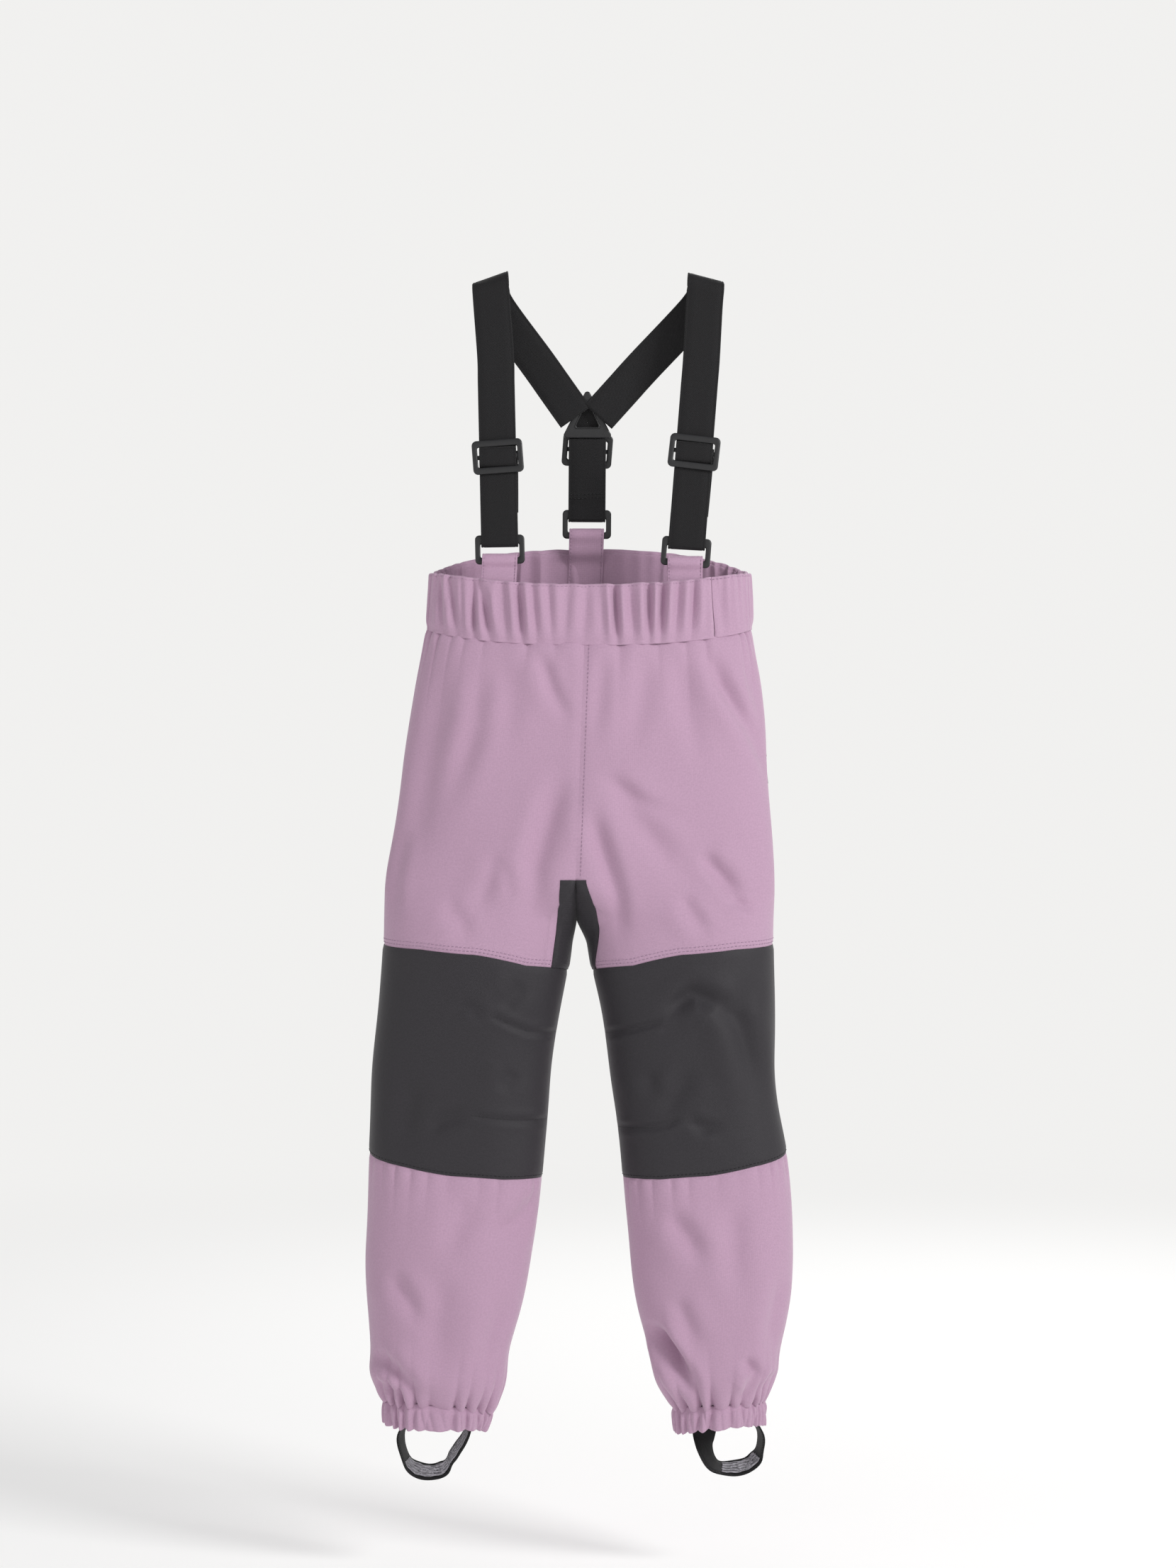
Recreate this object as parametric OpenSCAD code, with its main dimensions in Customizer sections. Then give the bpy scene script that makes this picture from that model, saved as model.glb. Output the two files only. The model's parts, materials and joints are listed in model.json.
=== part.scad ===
// Child's padded ski trousers with elastic braces, hanging by the braces.
// Millimetres. +Z is up, -Y is the wearer's front, +X is the wearer's left.
// The origin is midway between the places where the two braces rest on the shoulders.

/* [Trousers] */
// Thickness of the padded fabric
padding = 3; // [2:0.5:4]
// Height of the waistband's top edge at the side seams
waist_z = -242; // [-250:1:-235]
// How much higher the waistband stands at the back
back_rise = 23; // [15:1:30]
// Depth of the waistband at the side seams
band_depth = 44; // [36:1:50]
// Height where the trousers divide into two legs
crotch_z = -493; // [-500:1:-485]
// Height of the knee fold
knee_z = -645; // [-655:1:-635]
// Height where the legs are gathered into the cuffs
gather_z = -914; // [-918:1:-905]
// Height of the cuffs' hem
hem_z = -928; // [-932:1:-925]

/* [Braces] */
// Width of the elastic webbing
web_w = 30; // [26:1:32]
// Thickness of the webbing
web_t = 1.5; // [1:0.1:1.8]
// Radius of the webbing's fold over the shoulder
shoulder_r = 9; // [7:1:12]
// Width of the sewn tabs that hold the rings
tab_w = 28; // [24:1:29]

/* [Buckles] */
// Width of a ring or slider
buckle_w = 41; // [39:0.5:44]
// Height of a ring
ring_h = 23; // [21:0.5:25]
// Height of a slider
slider_h = 27.5; // [25:0.5:30]
// Thickness of the moulded plastic
buckle_t = 2.4; // [2:0.1:3]

/* [Stirrups] */
// Width of the stirrup elastic
stirrup_w = 20; // [15:1:22]
// How far a stirrup hangs below its pivot
stirrup_drop = 46; // [44:1:52]

/* [Pocket zips] */
// Length of each pocket zip
zip_length = 87; // [80:1:95]
// Width of the zip tape
zip_w = 12; // [10:1:16]

/* [Hidden] */
$fn = 48;

purple = [0.68, 0.55, 0.65];
black = [0.17, 0.16, 0.17];
web_grey = [0.15, 0.15, 0.15];
plastic = [0.08, 0.08, 0.08];

seam = 0.3;                    // gap between neighbouring pieces
cut = seam / 2;                // half of that gap, each side of a fold
band_t = 1.6;                  // thickness of a waistband or cuff layer

// Outline of the hips: height, wearer's right edge, left edge, half depth, middle of the depth
hips = [
    [-215, -127, 129, 41, 0], [-242, -127, 130, 41, 0], [-293, -132, 134, 44, 0],
    [-336, -143, 142, 48, 1], [-380, -148, 145, 50, 2], [-437, -156, 149, 51, 3],
    [-495, -166, 151, 50, 2]
];
// Outline of each leg: height, inner edge, outer edge, half depth, middle of the depth
leg_right = [
    [-493, -11.2, -166, 50, 2], [-516, -13, -167, 49, 2], [-553, -15, -168, 48, 1], [-582, -20, -169, 46, 0],
    [-640, -29, -174, 42, 0], [-711, -36, -178, 41, 0], [-784, -44, -182, 42, 0],
    [-812, -48, -182, 42, 0], [-841, -55, -178, 41, 0], [-870, -65, -176, 39, 0],
    [-900, -72, -172, 35, 0], [-914, -77, -166, 31, 0]
];
leg_left = [
    [-493, -8.8, 151, 50, 2], [-516, -2, 151, 49, 2], [-553, 1.5, 151, 48, 1], [-582, 9, 151, 46, 0],
    [-640, 18, 151, 42, 0], [-668, 23, 153, 41, 0], [-711, 27, 161, 41, 0],
    [-755, 29, 165, 41, 0], [-812, 35, 168, 42, 0], [-841, 40, 163, 41, 0],
    [-870, 50, 156, 39, 0], [-900, 62, 149, 35, 0], [-914, 69, 142, 31, 0]
];
// Outline of each cuff, in the same order
cuff_shape_right = [[-914, -82, -165, 28, 0], [-935, -86, -163, 27, 0]];
cuff_shape_left = [[-914, 74, 142, 28, 0], [-935, 78, 141, 27, 0]];

function column(table, c) = [for (row = table) [row[0], row[c]]];
function at(table, c, z) = lookup(z, column(table, c));
function power(v, p) = sign(v) * pow(abs(v), p);

// A point on a flattened oval section, d inside the outline. Angle 0 is the edge in column 2.
oval = function(table, roundness, t, z, d) let (
        inner = at(table, 1, z),
        outer = at(table, 2, z),
        side = sign(outer - inner)
    ) [
        (inner + outer) / 2 + ((outer - inner) / 2 - side * d) * power(cos(t), 2 / roundness),
        at(table, 4, z) + (at(table, 3, z) - d) * power(sin(t), 2 / roundness),
        z
    ];
hip_section = function(t, z, d) oval(hips, 2.4, t, z, d);
leg_section_right = function(t, z, d) oval(leg_right, 2.4, t, z, d);
leg_section_left = function(t, z, d) oval(leg_left, 2.4, t, z, d);
cuff_section_right = function(t, z, d) oval(cuff_shape_right, 2.2, t, z, d);
cuff_section_left = function(t, z, d) oval(cuff_shape_left, 2.2, t, z, d);

// Seam lines: height against angle
waist_top = function(t) waist_z + (sin(t) > 0 ? back_rise * pow(sin(t), 1.5) : 5 * sin(t));
waist_seam = function(t) waist_z - band_depth + (sin(t) > 0 ? 8 : 11) * sin(t);
seat_line = function(t) lookup(t <= 90 ? t : 180 - t,
    [[30, crotch_z], [40, -475], [50, -392], [90, -380]]);
patch_top = function(t) lookup(t, [[180, -563], [240, -558], [270, -549], [300, -545], [360, -542]]);
patch_bottom = function(t) lookup(t, [[180, -731], [240, -730], [270, -727], [300, -720], [360, -710]]);
// The inner thigh panel tapers to the inseam at the knee patch, behind and in front
inner_back = function(t) lookup(t, [[96, -510], [150, -545], [180, -563]]);
inner_front = function(t) crotch_z - 2.2 * (t - 180);

level = function(h) function(t) h;
function steps(a, b, n) = [for (i = [0 : n]) a + (b - a) * i / n];

// A curved panel of even thickness between two seam lines. angles lists its columns.
module panel(section, angles, top, bottom, inset, thick, rows = 5, mirrored = false) {
    nt = len(angles) - 1;
    n = (nt + 1) * (rows + 1);
    function layer(d) = [
        for (t = angles) for (j = [0 : rows])
            section(t, top(t) + (bottom(t) - top(t)) * j / rows, d)
    ];
    function id(i, j) = i * (rows + 1) + j;
    quads = concat(
        [for (i = [0 : nt - 1]) for (j = [0 : rows - 1])
            [id(i, j), id(i + 1, j), id(i + 1, j + 1), id(i, j + 1)]],
        [for (i = [0 : nt - 1]) for (j = [0 : rows - 1])
            [n + id(i, j + 1), n + id(i + 1, j + 1), n + id(i + 1, j), n + id(i, j)]],
        [for (i = [0 : nt - 1]) [id(i, 0), n + id(i, 0), n + id(i + 1, 0), id(i + 1, 0)]],
        [for (i = [0 : nt - 1])
            [id(i, rows), id(i + 1, rows), n + id(i + 1, rows), n + id(i, rows)]],
        [for (j = [0 : rows - 1]) [id(0, j), id(0, j + 1), n + id(0, j + 1), n + id(0, j)]],
        [for (j = [0 : rows - 1])
            [id(nt, j), n + id(nt, j), n + id(nt, j + 1), id(nt, j + 1)]]
    );
    triangles = [for (q = quads) each [[q[0], q[1], q[2]], [q[0], q[2], q[3]]]];
    faces = mirrored ? [for (f = triangles) [f[2], f[1], f[0]]] : triangles;
    polyhedron(concat(layer(inset), layer(inset + thick)), faces);
}

// Half a seam's gap as an angle, so that neighbouring panels never touch
gap_angle = 0.2;

// ---- Waistband ----
waist_join_left = 316;         // seam at the front of the wearer's left hip
waist_join_right = 190;        // seam at the wearer's right side

// Every layer has columns at the same tens of degrees, so the layers stay parallel
function ring_angles(a, b) = concat([a], [for (t = [0 : 10 : 720]) if (t > a + 1 && t < b - 1) t], [b]);

module waistband_front() color(purple) panel(hip_section,
    ring_angles(waist_join_right + gap_angle, waist_join_left - gap_angle),
    waist_top, waist_seam, 0, band_t, 1);

module waistband_back() color(purple) panel(hip_section,
    ring_angles(waist_join_left + gap_angle, waist_join_right + 360 - gap_angle),
    waist_top, waist_seam, 0, band_t, 1);

module waist_elastic() color(web_grey) panel(hip_section, ring_angles(1, 359),
    function(t) waist_top(t) - 3, function(t) waist_seam(t) + 3, band_t + seam, 1, 1);

module waistband_facing() color(purple) panel(hip_section, ring_angles(1, 359),
    waist_top, waist_seam, band_t + 1 + 2 * seam, 1.2, 1);

// ---- Hips ----
below_band = function(t) waist_seam(t) - seam;
above_crotch = level(crotch_z + cut);

module front_panel(side) color(purple) panel(hip_section,
    side > 0 ? steps(270 + gap_angle, 360 - gap_angle, 9) : steps(180 + gap_angle, 270 - gap_angle, 9),
    below_band, above_crotch, 0, padding);

module back_panel(side) color(purple) panel(hip_section,
    side > 0 ? steps(gap_angle, 90 - gap_angle, 9) : steps(90 + gap_angle, 180 - gap_angle, 9),
    below_band, function(t) max(seat_line(t), crotch_z) + cut, 0, padding);

module seat_panel(side) color(black) panel(hip_section,
    side > 0 ? steps(40 + gap_angle, 90 - gap_angle, 5) : steps(90 + gap_angle, 140 - gap_angle, 5),
    function(t) seat_line(t) - cut, above_crotch, 0, padding, 4);

module pocket_bag(side) color(black) panel(hip_section,
    side > 0 ? steps(310, 380, 6) : steps(160, 230, 6),
    level(-300), level(-425), padding + 1.5, 1.5, 3);

// ---- Legs ----
below_crotch = level(crotch_z - cut);
above_knee = level(knee_z + cut);
below_knee = level(knee_z - cut);

module leg_panel(side, angles, top, bottom, rows) panel(
    side > 0 ? leg_section_left : leg_section_right,
    angles, top, bottom, 0, padding, rows, side < 0);

module thigh_front(side) color(purple) leg_panel(side,
    [190, 200, 210, 230, 250, 270, 290, 310, 330, 345, 360 - gap_angle], below_crotch,
    function(t) (t <= 210 ? max(inner_front(t), patch_top(t)) : patch_top(t)) + cut, 3);

module inner_thigh(side) color(black) leg_panel(side,
    [96, 110, 125, 140, 155, 170, 180, 190, 200, 207],
    function(t) t <= 180 ? below_crotch(t) : inner_front(t) - cut,
    function(t) (t <= 180 ? inner_back(t) : patch_top(t)) + cut, 2);

module thigh_back(side) color(purple) leg_panel(side,
    [gap_angle, 15, 30, 45, 60, 75, 90, 96, 110, 125, 140, 155, 170, 180 - gap_angle],
    function(t) t <= 90 ? below_crotch(t) : inner_back(t) - cut, above_knee, 3);

front_angles = concat([180 + gap_angle], steps(190, 350, 12), [360 - gap_angle]);
back_angles = concat([gap_angle], steps(10, 170, 12), [180 - gap_angle]);

module knee_patch_upper(side) color(black) leg_panel(side, front_angles,
    function(t) patch_top(t) - cut, above_knee, 3);

module knee_patch_lower(side) color(black) leg_panel(side, front_angles,
    below_knee, function(t) patch_bottom(t) + cut, 3);

module shin_front(side) color(purple) leg_panel(side, front_angles,
    function(t) patch_bottom(t) - cut, level(gather_z), 7);

module shin_back(side) color(purple) leg_panel(side, back_angles, below_knee, level(gather_z), 9);

// ---- Cuffs ----
module cuff_layer(side, top, bottom, inset, thick) panel(
    side > 0 ? cuff_section_left : cuff_section_right,
    steps(181, 539, 24), level(top), level(bottom), inset, thick, 1, side < 0);

module cuff(side) color(purple) cuff_layer(side, gather_z - seam, hem_z, 0, band_t);

module cuff_elastic(side) color(web_grey)
    cuff_layer(side, gather_z - seam - 1.5, hem_z + 1.5, band_t + seam, 1.2);

// ---- Stirrups ----
pivot_z = hem_z - 4;           // the sewn ends turn about a line just under the hem
stirrup_t = 1.5;
function stirrup_middle(side) = side > 0 ? 110 : -124;
function stirrup_reach(side) = side > 0 ? 24 : 30;

// A round-ended lap across the width of the elastic, at distance x from the middle
module lap(x) translate([x, 0, 0]) rotate([0, 90, 0]) cylinder(h = stirrup_t, d = stirrup_w);

module stirrup(side) color(web_grey) translate([stirrup_middle(side), 0, pivot_z]) {
    r = stirrup_reach(side);
    straight = stirrup_drop - r;
    lap(-r);
    lap(r - stirrup_t);
    for (x = [-r, r - stirrup_t])
        translate([x, -stirrup_w / 2, -straight]) cube([stirrup_t, stirrup_w, straight]);
    translate([0, stirrup_w / 2, -straight]) rotate([90, 0, 0]) linear_extrude(stirrup_w) difference() {
        circle(r);
        circle(r - stirrup_t);
        translate([-r, 0]) square([2 * r, r]);
    }
}

module stirrup_anchor(side) color(web_grey) translate([stirrup_middle(side), 0, pivot_z]) {
    r = stirrup_reach(side) + seam;
    for (x = [-r - stirrup_t, r]) {
        lap(x);
        translate([x, -stirrup_w / 2, 0]) cube([stirrup_t, stirrup_w, 16]);
    }
}

// ---- Braces: each run is built upright along +Z from its ring's lower bar, then leaned ----
// Places: the ring's lower bar, and the top of the straight run
ring_pos = [[-71, -23, -232], [78.5, -23, -234], [-1, 31.5, -208]];
run_top = [[-75, -11, -60], [92.5, -11, -60], [-0.5, 23, -129]];
slider_along = [84.6, 90.5, 70];   // middle of each slider, measured along its run
RIGHT = 0;
LEFT = 1;
BACK = 2;

function run(k) = run_top[k] - ring_pos[k];
function lean_x(k) = -asin(run(k)[1] / norm(run(k)));
function lean_y(k) = atan2(run(k)[0], run(k)[2]);
module along_run(k) translate(ring_pos[k]) rotate([lean_x(k), lean_y(k), 0]) children();

bar = 4.5;                     // height of a flat bar
pin_r = 1.6;                   // radius of the ring's round lower bar
upper_bar = ring_h - pin_r - bar / 2;
layer_y = buckle_t / 2 + 0.25 + web_t / 2;   // each webbing layer lies this far off the bar's middle
fold_top = upper_bar + 10;
strap_start = fold_top + 0.5;

module rounded(w, h, r) hull() for (x = [-1, 1]) for (z = [-1, 1])
    translate([x * (w / 2 - r), z * (h / 2 - r)]) circle(r, $fn = 24);

module ring(k) color(plastic) along_run(k) {
    side_bar = (buckle_w - web_w - 1.5) / 2;
    rotate([90, 0, 0]) translate([0, 0, -buckle_t / 2]) linear_extrude(buckle_t) difference() {
        translate([0, ring_h / 2 - pin_r]) rounded(buckle_w, ring_h, 3.5);
        translate([-buckle_w / 2 + side_bar, -pin_r - 1])
            square([buckle_w - 2 * side_bar, upper_bar - bar / 2 + pin_r + 1]);
    }
    translate([-buckle_w / 2 + side_bar / 2, 0, 0]) rotate([0, 90, 0])
        cylinder(h = buckle_w - side_bar, r = pin_r);
}

// The webbing's turn round the ring's upper bar, open upwards
module strap_fold(k) color(web_grey) along_run(k) {
    low = upper_bar - bar / 2 - 0.2;
    for (s = [-1, 1]) translate([-web_w / 2, s * layer_y - web_t / 2, low - web_t])
        cube([web_w, web_t, fold_top - low + web_t]);
    translate([-web_w / 2, -layer_y, low - web_t]) cube([web_w, 2 * layer_y, web_t]);
}

// A tab folded over the ring's round bar and sewn inside the waistband
module tab(k, drop) color(purple) translate(ring_pos[k]) rotate([0, lean_y(k), 0]) {
    slot = pin_r + 0.3;
    translate([-tab_w / 2, 0, 0]) rotate([90, 0, 90]) linear_extrude(tab_w) difference() {
        union() {
            circle(slot + web_t);
            translate([-slot - web_t, -drop]) square([2 * (slot + web_t), drop]);
        }
        circle(slot);
        translate([-slot, -9]) square([2 * slot, 9]);
    }
}

// A flat ribbon through route points [x, y, z, roll]; roll tilts its width out of level
function unit(v) = v / norm(v);
function spot(p) = [p[0], p[1], p[2]];
module ribbon(route, width, thick) {
    last = len(route) - 1;
    function tangent(i) = unit(spot(route[min(i + 1, last)]) - spot(route[max(i - 1, 0)]));
    function across(i) = let (
            w = [cos(route[i][3]), 0, sin(route[i][3])],
            t = tangent(i)
        ) unit(w - (w * t) * t);
    function corners(i) = let (
            w = across(i) * width / 2,
            n = cross(tangent(i), across(i)) * thick / 2,
            p = spot(route[i])
        ) [p - w - n, p + w - n, p + w + n, p - w + n];
    sides = [for (i = [0 : last - 1]) for (j = [0 : 3]) let (a = 4 * i + j, b = 4 * i + (j + 1) % 4)
        each [[a, a + 4, b + 4], [a, b + 4, b]]];
    polyhedron([for (i = [0 : last]) each corners(i)],
        concat([[0, 1, 2], [0, 2, 3]], sides,
            [[4 * last + 2, 4 * last + 1, 4 * last], [4 * last + 3, 4 * last + 2, 4 * last]]));
}

// A point on the front layer of a run, a given way along it
function on_run(k, along, y) = let (u = unit(run(k)), n = unit([0, u[2], -u[1]]))
    ring_pos[k] + along * u + y * n;

// The braces' routes over the shoulders: after the front run, the fold and the run down to the yoke
function over_shoulder(x, roll) = [for (a = [0 : 30 : 180])
    [x, -shoulder_r * cos(a), shoulder_r * (sin(a) - 1), roll]];
shoulder_x = [-82, 97];
shoulder_roll = [20, -15];
back_roll = [34, -38];
yoke_in = [[-14.5, 20, -105], [13.5, 20, -105.5]];

module shoulder_strap(k) color(web_grey) {
    start = on_run(k, strap_start, -layer_y);
    finish = on_run(k, norm(run(k)), -layer_y);
    ribbon(concat(
        [[start[0], start[1], start[2], 0], [finish[0], finish[1], finish[2], 0]],
        over_shoulder(shoulder_x[k], shoulder_roll[k]),
        [[shoulder_x[k] * 0.93, shoulder_r + 2, -22, back_roll[k]],
         [yoke_in[k][0], yoke_in[k][1], yoke_in[k][2], back_roll[k]]]
    ), web_w, web_t);
}

// The webbing that comes back up behind the run, from the ring to the slider
module strap_return(k) color(web_grey) along_run(k)
    translate([-web_w / 2, layer_y - web_t / 2, strap_start])
        cube([web_w, web_t, slider_along[k] - strap_start]);

module back_strap() color(web_grey) along_run(BACK)
    translate([-web_w / 2, -layer_y - web_t / 2, strap_start])
        cube([web_w, web_t, norm(run(BACK)) - strap_start]);

// Three-way ring that joins the braces at the back
module yoke() color(plastic) translate([-0.5, 21, -128.4]) rotate([90 + lean_x(BACK), 0, 0])
    translate([0, 0, -1.5]) linear_extrude(3) difference() {
        hull() {
            translate([-17.5, 2.5]) circle(2.5);
            translate([17.5, 2.5]) circle(2.5);
            translate([0, 34]) circle(2.5);
        }
        polygon([[-12, 5.5], [12, 5.5], [0, 27]]);
    }

// Slider: a frame with a middle bar; the webbing passes behind both edges and over the middle
module adjuster(k, face) color(plastic) along_run(k)
    translate([0, face * (layer_y + web_t / 2 + seam + buckle_t / 2), slider_along[k]])
    rotate([90, 0, 0]) translate([0, 0, -buckle_t / 2]) linear_extrude(buckle_t) difference() {
        rounded(buckle_w - 1, slider_h, 3.5);
        for (s = [-1, 1]) translate([0, s * 5.25]) square([web_w + 1, 6.5], center = true);
    }

// ---- Pocket zips, just behind the side seams: built upright along +Z from the lower stop, facing
// +X, then turned to face out of the rounded hip and leaned along it ----
zip_foot = [[-143.5, 26, -392], [139.3, 25.6, -392]];
zip_head = [[-129.6, 21.9, -305], [130.4, 21.5, -305]];
zip_turn = 40;
zip_pin = 2.9;                 // the pull's pin stands this far off the slider's face
slider_t = 3;

function zip_run(k) = zip_head[k] - zip_foot[k];
function zip_lean(k) = let (u = unit(zip_run(k))) [-asin(u[1]), atan2(u[0], u[2]), 0];
module on_zip(k) translate(zip_foot[k]) rotate(zip_lean(k))
    mirror([k == RIGHT ? 1 : 0, 0, 0]) rotate([0, 0, zip_turn]) children();

module zip_tape(k) color(black) on_zip(k)
    translate([0, -zip_w / 2, -4]) cube([0.8, zip_w, zip_length + 4]);

module zip_slider(k) color(plastic) on_zip(k) {
    translate([0.8 + seam, -4, 0]) cube([slider_t, 8, 10]);
    for (s = [-1, 1]) translate([0.8 + seam + slider_t, s * 2.6 - 0.7, 2])
        cube([zip_pin + 1.2, 1.4, 6]);
    translate([0.8 + seam + slider_t + zip_pin, -3, 5]) rotate([-90, 0, 0]) cylinder(h = 6, r = 0.8);
}

module zip_pull(k) color(black) on_zip(k) {
    translate([0.8 + seam + slider_t + zip_pin, 0, 5]) rotate([-90, 0, 0])
        translate([0, 0, -1.5]) linear_extrude(3) difference() {
            union() {
                circle(2.2);
                translate([-0.8, 0]) square([1.6, 26]);
            }
            circle(1.05);
        }
}

waistband_front();
waistband_back();
waistband_facing();
waist_elastic();
front_panel(1);  // front_panel_left
front_panel(-1);  // front_panel_right
back_panel(1);  // back_panel_left
back_panel(-1);  // back_panel_right
seat_panel(1);  // seat_panel_left
seat_panel(-1);  // seat_panel_right
pocket_bag(1);  // pocket_bag_left
pocket_bag(-1);  // pocket_bag_right
zip_tape(LEFT);  // zip_tape_left
zip_tape(RIGHT);  // zip_tape_right
zip_slider(LEFT);  // zip_slider_left
zip_slider(RIGHT);  // zip_slider_right
zip_pull(LEFT);  // zip_pull_left
zip_pull(RIGHT);  // zip_pull_right
thigh_front(1);  // thigh_front_left
thigh_front(-1);  // thigh_front_right
thigh_back(1);  // thigh_back_left
thigh_back(-1);  // thigh_back_right
inner_thigh(1);  // inner_thigh_left
inner_thigh(-1);  // inner_thigh_right
knee_patch_upper(1);  // knee_patch_upper_left
knee_patch_upper(-1);  // knee_patch_upper_right
knee_patch_lower(1);  // knee_patch_lower_left
knee_patch_lower(-1);  // knee_patch_lower_right
shin_front(1);  // shin_front_left
shin_front(-1);  // shin_front_right
shin_back(1);  // shin_back_left
shin_back(-1);  // shin_back_right
cuff(1);  // cuff_left
cuff(-1);  // cuff_right
cuff_elastic(1);  // cuff_elastic_left
cuff_elastic(-1);  // cuff_elastic_right
stirrup(1);  // stirrup_left
stirrup(-1);  // stirrup_right
stirrup_anchor(1);  // stirrup_anchor_left
stirrup_anchor(-1);  // stirrup_anchor_right
tab(LEFT, 40);  // front_tab_left
tab(RIGHT, 42);  // front_tab_right
tab(BACK, 45);  // back_tab
ring(LEFT);  // ring_left
ring(RIGHT);  // ring_right
ring(BACK);  // ring_back
strap_fold(LEFT);  // strap_fold_left
strap_fold(RIGHT);  // strap_fold_right
strap_fold(BACK);  // strap_fold_back
shoulder_strap(LEFT);  // shoulder_strap_left
shoulder_strap(RIGHT);  // shoulder_strap_right
back_strap();
yoke();
adjuster(LEFT, -1);  // adjuster_left
adjuster(RIGHT, -1);  // adjuster_right
adjuster(BACK, 1);  // adjuster_back
strap_return(LEFT);  // strap_return_left
strap_return(RIGHT);  // strap_return_right
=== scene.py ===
"""Child's ski trousers with braces: the looks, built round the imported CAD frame.

The garment is one smooth surface, point(side, t, z). t is an angle in degrees round a leg: 0 is the
outer side seam, 90 the back, 180 the inseam, 270 the front. Above the crotch the stretch from 135 to
225, which is the inner wall of a leg, closes to the centre seam. Panels are cut from that surface.
phi is the angle round the hips: 0 at the wearer's left, 90 the back, 270 the front.
Lengths are millimetres until new_object makes a mesh, in metres.
"""
import json
import math

import bmesh
import bpy
import numpy as np
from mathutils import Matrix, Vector


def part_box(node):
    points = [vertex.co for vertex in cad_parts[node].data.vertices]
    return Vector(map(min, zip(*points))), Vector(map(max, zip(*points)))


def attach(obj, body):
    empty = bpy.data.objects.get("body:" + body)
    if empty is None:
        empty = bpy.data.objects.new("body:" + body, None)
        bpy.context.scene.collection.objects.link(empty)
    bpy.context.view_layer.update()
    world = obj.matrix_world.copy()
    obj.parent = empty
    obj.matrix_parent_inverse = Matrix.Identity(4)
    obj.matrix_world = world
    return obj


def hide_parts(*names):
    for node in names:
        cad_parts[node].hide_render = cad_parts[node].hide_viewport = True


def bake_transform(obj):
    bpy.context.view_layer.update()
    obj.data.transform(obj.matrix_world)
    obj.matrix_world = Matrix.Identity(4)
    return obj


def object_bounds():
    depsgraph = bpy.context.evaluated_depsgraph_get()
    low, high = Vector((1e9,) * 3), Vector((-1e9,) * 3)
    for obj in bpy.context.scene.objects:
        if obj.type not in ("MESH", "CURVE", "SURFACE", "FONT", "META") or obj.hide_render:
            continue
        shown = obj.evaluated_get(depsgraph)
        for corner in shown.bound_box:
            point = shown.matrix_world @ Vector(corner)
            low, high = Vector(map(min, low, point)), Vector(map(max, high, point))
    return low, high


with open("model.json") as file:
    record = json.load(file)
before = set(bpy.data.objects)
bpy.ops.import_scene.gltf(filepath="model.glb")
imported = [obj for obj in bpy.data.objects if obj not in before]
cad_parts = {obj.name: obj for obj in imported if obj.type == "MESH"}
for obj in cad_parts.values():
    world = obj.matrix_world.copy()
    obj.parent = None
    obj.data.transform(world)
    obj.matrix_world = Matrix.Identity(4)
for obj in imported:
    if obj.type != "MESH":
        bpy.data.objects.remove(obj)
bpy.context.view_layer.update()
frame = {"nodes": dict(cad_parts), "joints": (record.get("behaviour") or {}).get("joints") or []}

MM = 0.001
SIDES = {"left": 1, "right": -1}
EASE = 1.03     # what folds and seam allowances take up of a flat panel


# ------------------------------------------------------------------ reading the frame
def node_points(name):
    """Vertices of a CAD node, in millimetres."""
    mesh = frame["nodes"][name].data
    co = np.empty(len(mesh.vertices) * 3)
    mesh.vertices.foreach_get("co", co)
    return co.reshape(-1, 3) / MM


def node_edges(names):
    """Both ends of every edge of CAD nodes, in millimetres."""
    parts = []
    for name in names:
        mesh = frame["nodes"][name].data
        ends = np.empty(len(mesh.edges) * 2, int)
        mesh.edges.foreach_get("vertices", ends)
        parts.append(node_points(name)[ends].reshape(-1, 2, 3))
    return np.concatenate(parts)


def joint(name):
    return next(j for j in frame["joints"] if j["name"] == name)


def pivot(name):
    return np.array(joint(name)["pos_m"]) / MM


def profile(edges, axis, largest, low, high, blur=10):
    """A smooth function of height: how far the CAD shape reaches along x or y, either way."""
    levels = np.arange(low + 1, high, 5.0)
    a, b = edges[:, 0], edges[:, 1]
    rise = b[:, 2] - a[:, 2]
    reach = []
    for z in levels:
        cut = ((a[:, 2] - z) * (b[:, 2] - z) <= 0) & (np.abs(rise) > 1e-6)
        share = (z - a[cut, 2]) / rise[cut]
        value = a[cut, axis] + share * (b[cut, axis] - a[cut, axis])
        reach.append(value.max() if largest else value.min())
    fine = np.arange(low - 60, high + 60, 1.0)
    kernel = np.exp(-0.5 * (np.arange(-3 * blur, 3 * blur + 1) / blur) ** 2)
    wide = np.pad(np.interp(fine, levels, reach), 3 * blur, mode="edge")
    smooth = np.convolve(wide, kernel / kernel.sum(), mode="valid")
    return lambda z: np.interp(z, fine, smooth)


WAIST_TOP_BACK = node_points("waistband_back")[:, 2].max()
WAIST_TOP_FRONT = node_points("waistband_front")[:, 2].max()
CROTCH_Z = pivot("hip_left")[2]
KNEE_Z = pivot("knee_left")[2]
GATHER_Z = node_points("shin_front_left")[:, 2].min()     # where the leg meets its cuff

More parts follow.
